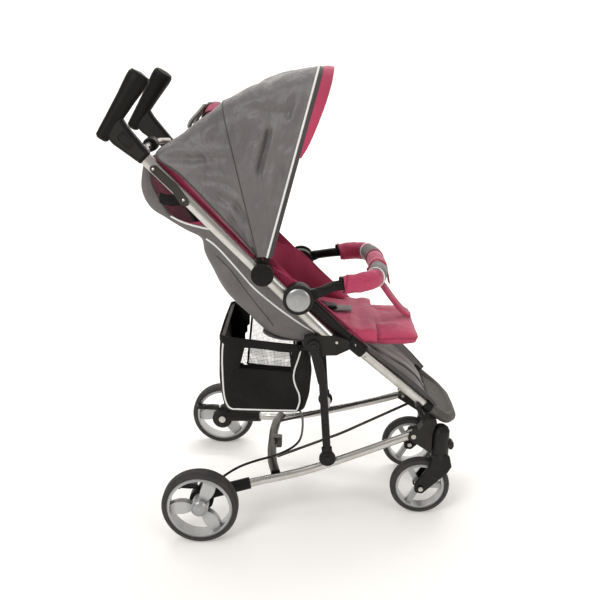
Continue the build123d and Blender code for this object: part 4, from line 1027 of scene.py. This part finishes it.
for k, (share, material) in enumerate(((0.203, WHITE_CORD), (0.375, DEEP_PINK), (0.625, DEEP_PINK), (0.797, WHITE_CORD),
                                       (0.006, DEEP_PINK), (0.994, DEEP_PINK))):
    ring_at(f"bumper_piping_{k}", share, SLEEVE_R + 0.0022, 0.0019, material)
for word, side in reversed(SIDES):
    for row_number, angle in enumerate((20, 42)):
        seam_points = []
        part = bar_line[3:27] if side < 0 else bar_line[-27:-3]
        for i in range(1, len(part) - 1):
            along = (part[i + 1] - part[i - 1]).normalized()
            lean = math.radians(angle)
            out = Vector((0, side, 0)) * math.cos(lean) + Vector((0, 0, 1)) * math.sin(lean)
            out = (out - along * out.dot(along)).normalized()
            seam_points.append(part[i] + out * (SLEEVE_R + 0.0028))
        piece = stitches(f"bumper_stitches_{word}_{row_number}", seam_points, DEEP_PINK)
        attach(piece, "bumper")

flap_rows = [[Vector((x, y, z)) for y in (k * 0.019 / 4 for k in range(-4, 5))] for x, z in
             ((0.214, 0.5965), (0.2235, 0.591), (0.2285, 0.580), (0.2315, 0.565), (0.235, 0.549), (0.2375, 0.532))]
flap = drape(lattice("bumper_flap", flap_rows, DEEP_PINK), 0.002, (30, 30, 30), 2.0)
sheet(flap, 0.003)
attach(flap, "bumper")

strap_line = smooth([(0.1895, 0, 0.573), (0.196, 0, 0.557), (0.207, 0, 0.543), (0.222, 0, 0.530), (0.243, 0, 0.5015),
                     (0.262, 0, 0.478), (0.279, 0, 0.461), (0.292, 0, 0.455)], 40)
crotch = strap("crotch_strap_cover", strap_line, (0.45, 0.85, 0), 0.030, 0.0024, PINK)
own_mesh(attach(crotch, "bumper"))
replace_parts(crotch, "crotch_strap")

# ---- basket --------------------------------------------------------------------------------------------
BASKET_ROWS = [(-0.1460, 0.440, 0.0450, 0.4190, 0.1385), (-0.1500, 0.405, 0.0530, 0.390, 0.1380),
               (-0.1500, 0.360, 0.0560, 0.350, 0.1375), (-0.1480, 0.310, 0.0530, 0.300, 0.1350),
               (-0.1420, 0.272, 0.0440, 0.266, 0.1320), (-0.1340, 0.2585, 0.0330, 0.2575, 0.1290)]
SIDE_POINTS, END_POINTS = 34, 40


def basket_loop(spec):
    """Closed loop round the basket with soft corners, from (rear x, rear z, front x, front z, half width)."""
    rear_x, rear_z, front_x, front_z, half = spec
    corner = 0.018
    outline = []
    for cx, cy, start in ((front_x, -half, -90), (front_x, half, 0), (rear_x, half, 90), (rear_x, -half, 180)):
        middle = Vector((cx - math.copysign(corner, cx + 0.05), cy - math.copysign(corner, cy)))
        outline += [middle + Vector((math.cos(a), math.sin(a))) * corner for a in
                    (math.radians(start + d) for d in range(0, 91, 18))]
    outline.append(outline[0])
    flat = resample([Vector((p.x, p.y, 0)) for p in outline], 2 * (SIDE_POINTS + END_POINTS) + 1)[:-1]
    return [Vector((p.x, p.y, rear_z + (front_z - rear_z) * (p.x - rear_x) / (front_x - rear_x))) for p in flat]


loops = []
for i in range(34):
    t = i / 33 * (len(BASKET_ROWS) - 1)
    loops.append(basket_loop(through(BASKET_ROWS, t)))
middle = sum(loops[-1], Vector()) / len(loops[-1])
floor_loops = [[p.lerp(middle, share) + Vector((0, 0, -0.0012 * share)) for p in loops[-1]]
               for share in (0.08, 0.25, 0.5, 0.75, 0.97)]
basket = lattice("basket_cover", loops + floor_loops, BLACK_CLOTH, closed=True)
drape(basket, 0.0045, (13, 10, 12), 7.0,
      lambda p: max(0.0, min(1.0, (0.425 - p.z) / 0.05)) * min(1.0, (p.z - 0.255) / 0.02))
WINDOW = [(-0.094, 0.420), (-0.108, 0.366), (0.016, 0.3575), (0.010, 0.4135)]
FAR_DROP = 0.092  # the left window reaches this much lower
net_sides = {}
for word, side in SIDES:
    window = [(x, z - (FAR_DROP if side > 0 and k in (1, 2) else 0.0)) for k, (x, z) in enumerate(WINDOW)]
    corner_points = on_side(basket, window, side, -0.0004)
    grid_rows = []
    count = 17 if side < 0 else 44
    for i in range(count):
        share = i / (count - 1)
        left, right = corner_points[0].lerp(corner_points[1], share), corner_points[3].lerp(corner_points[2], share)
        flat_row = [left.lerp(right, k / 36) for k in range(37)]
        grid_rows.append(on_side(basket, [(p.x, p.z) for p in flat_row], side, -0.0002))
    net_sides[word] = grid_rows
(x0, z0), (x1, z1), (x2, z2), (x3, z3) = WINDOW
cut = bmesh.new()
cut.from_mesh(basket.data)
gone = []
for face in cut.faces:
    c = face.calc_center_median()
    if abs(c.y) > 0.12 and 0.266 < c.z < 0.418:
        low_z = z1 - (0.0 if c.y < 0 else FAR_DROP) + (c.x - x1) / (x2 - x1) * (z2 - z1)
        high_z = z0 + (c.x - x0) / (x3 - x0) * (z3 - z0)
        left_x = x0 - (z0 - c.z) / (z0 - z1) * (x0 - x1)
        right_x = x3 + (z3 - c.z) / (z3 - z2) * (x2 - x3)
        if low_z < c.z < high_z and left_x < c.x < right_x:
            gone.append(face)
bmesh.ops.delete(cut, geom=gone, context="FACES")
cut.to_mesh(basket.data)
cut.free()
basket_pieces = []
for word, side in SIDES:
    grid_rows = net_sides[word]
    net = lattice(f"basket_net_{word}", grid_rows, BLACK_CLOTH)
    settle(net, ("WIREFRAME", {"thickness": 0.0007, "use_replace": True}))
    frame_line = [p + Vector((0, side * 0.0008, 0)) for p in
                  grid_rows[0] + [r[-1] for r in grid_rows] + grid_rows[-1][::-1] + [r[0] for r in grid_rows][::-1]]
    basket_pieces += [net, tube(f"basket_window_binding_{word}", frame_line, 0.0026, BLACK_CLOTH, 8)]
    left_run = smooth([(-0.1385, 0, 0.437), (-0.1425, 0, 0.400), (-0.1425, 0, 0.350), (-0.1405, 0, 0.300),
                       (-0.134, 0, 0.276), (-0.124, 0, 0.2665), (-0.105, 0, 0.2655), (0.010, 0, 0.2635),
                       (0.026, 0, 0.2640)], 70)
    right_run = smooth([(0.036, 0, 0.4225), (0.029, 0, 0.395), (0.0205, 0, 0.368), (0.018, 0, 0.348), (0.022, 0, 0.328),
                        (0.0305, 0, 0.305), (0.0315, 0, 0.285), (0.026, 0, 0.266)], 50)
    for k, run in enumerate((left_run, right_run)):
        line = on_side(basket, [(p.x, p.z) for p in run], side, 0.0020)
        basket_pieces.append(tube(f"basket_piping_{k}_{word}", line, 0.0019, WHITE_CORD))
rim_line = [p + Vector((0, 0, 0.001)) for p in loops[0]]
rim_line.append(rim_line[0])
rim_rows = [[p + Vector((p.x + 0.05, p.y, 0)).normalized() * out + Vector((0, 0, up)) for p in rim_line]
            for out, up in ((0.0015, 0.004), (0.0042, 0.0), (0.0045, -0.008), (0.0025, -0.017))]
rim_band = lattice("basket_rim_band", rim_rows, BLACK_CLOTH)
sheet(rim_band, 0.0025)
basket_pieces.append(rim_band)
# Side strip 0.90 x 0.184 and floor 0.165 x 0.257, less the two net windows.
sheet(basket, 0.0018)
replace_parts(basket, "basket")
for piece in [basket, *basket_pieces]:
    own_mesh(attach(piece, "frame"))

# ---- small hard details ----------------------------------------------------------------------------------
def knob(name, centre, side, profile, material, body, sides=28):
    """Turned fitting on a Y axis, from (radius, distance outward) points."""
    rows = [[Vector(centre) + Vector((r * math.cos(a), side * out, r * math.sin(a)))
             for a in turns(sides)] for r, out in profile]
    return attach(capped(lattice(name, rows, material, closed=True)), body)


BOLT = [(0.0, -0.0005), (0.0058, -0.0005), (0.0058, 0.0010), (0.0050, 0.0022), (0.0026, 0.0026), (0.0022, 0.0012),
        (0.0004, 0.0012)]
RIVET = [(0.0004, -0.0004), (0.0034, -0.0004), (0.0034, 0.0006), (0.0022, 0.0017), (0.0004, 0.0021)]


SMALL_RIVET = [(r * 0.5, out * 0.6) for r, out in RIVET]
# name, (x, half width, z), profile, material, body; "caster" takes its side's name
FITTINGS = [
    ("front_axle_bolt_outer", (0.317, 0.1385, 0.07), BOLT, STEEL, "caster"),
    ("front_axle_bolt_inner", (0.317, 0.091, 0.07), BOLT, STEEL, "caster"),
    ("fork_screw", (0.349, 0.1345, 0.096), SMALL_RIVET, DARK_METAL, "caster"),
    ("lower_tube_rivet", (0.1765, 0.1570, 0.4035), RIVET, STEEL, "frame"),
    ("lever_rivet", (-0.274, 0.1692, 0.816), RIVET, STEEL, "recline_levers"),
    ("lever_slot_rivet", (-0.2135, 0.1672, 0.752), RIVET, STEEL, "recline_levers"),
    ("sleeve_rivet", (-0.118, 0.2033, 0.099), RIVET, STEEL, "chassis"),
]


def hardware(word, side):
    """One side's bolts and rivets, and its recline webbing."""
    for name, (x, y, z), profile, material, body in FITTINGS:
        outward = -side if name.endswith("inner") else side
        rides_on = f"caster_{word}" if body == "caster" else body
        knob(f"{name}_{word}", (x, side * y, z), outward, profile, material, rides_on)
    line = [Vector((-0.268, side * 0.140, 0.752)), Vector((-0.246, side * 0.150, 0.748)),
            Vector((-0.222, side * 0.1555, 0.752)), Vector((-0.208, side * 0.158, 0.760))]
    web = strap(f"recline_web_{word}", smooth(line, 16), (-0.35, 0, 0.94), 0.024, 0.0022, BLACK_CLOTH)
    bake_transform(web)


both(hardware)

CABLE_HALF = [(-0.150, 0.205, 0.122), (-0.118, 0.190, 0.143), (-0.070, 0.166, 0.152), (-0.018, 0.146, 0.157),
              (0.022, 0.112, 0.163), (0.038, 0.062, 0.165)]
CABLE = [(x, -y, z) for x, y, z in CABLE_HALF] + CABLE_HALF[::-1]
cable_data = bpy.data.curves.new("brake_cable_line", "CURVE")
cable_data.dimensions = "3D"
spline = cable_data.splines.new("NURBS")
spline.points.add(len(CABLE) - 1)
for spline_point, place in zip(spline.points, CABLE):
    spline_point.co = (*place, 1)
spline.order_u = 3
spline.use_endpoint_u = True
spline.resolution_u = 12
cable_data.bevel_depth, cable_data.bevel_resolution = 0.0028, 4
cable_data.use_fill_caps = True
cable_data.materials.append(GLOSSY)
cable = bpy.data.objects.new("brake_cable_line", cable_data)
collection.objects.link(cable)
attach(cable, "chassis")
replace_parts(cable, "brake_cable")

# ---- floor, light --------------------------------------------------------------------------------
floor_rows = []
for x_end in (-6.0, 6.0):
    arc = [Vector((x_end, 3.2 + 1.2 * math.sin(a), 1.2 - 1.2 * math.cos(a))) for a in
           (math.radians(d) for d in range(0, 91, 10))]
    floor_rows.append([Vector((x_end, -6.0, 0)), Vector((x_end, 0, 0)), *arc, Vector((x_end, 4.4, 6.0))])
g = Graph("floor_pale")
pale = g.mix(g.ramp(g.noise(2.0), 0.3, 0.7, 0.0, 1.0), (0.90, 0.882, 0.858), (0.88, 0.86, 0.835))
g.finish(pale, 0.7, Emission_Color=(1.0, 0.97, 0.93, 1), Emission_Strength=0.2)
floor = lattice("floor", floor_rows, g.material)


def area_light(name, place, target, size, power, colour=(1, 1, 1)):
    """A rectangular light aimed at a point."""
    data = bpy.data.lights.new(name, "AREA")
    data.shape, data.size, data.size_y = "RECTANGLE", size[0], size[1]
    data.energy, data.color = power, colour
    light = bpy.data.objects.new(name, data)
    light.location = place
    light.rotation_euler = (Vector(target) - Vector(place)).to_track_quat("-Z", "Y").to_euler()
    collection.objects.link(light)


area_light("key", (-1.6, -2.6, 2.6), (0, 0, 0.5), (1.5, 1.5), 62)
area_light("fill", (2.4, -2.2, 1.6), (0, 0, 0.5), (1.6, 1.6), 22, (1, 0.98, 0.95))
area_light("top", (0, 0.4, 3.4), (0, 0, 0.4), (2.4, 2.4), 34)
area_light("backdrop", (0, 1.6, 3.2), (0, 4.0, 0.6), (4.0, 1.0), 90)
world = bpy.data.worlds.new("studio")
world.use_nodes = True
world.node_tree.nodes["Background"].inputs[0].default_value = (1.0, 0.985, 0.965, 1)
world.node_tree.nodes["Background"].inputs[1].default_value = 0.34
bpy.context.scene.world = world
bpy.context.scene.view_settings.view_transform = "Standard"
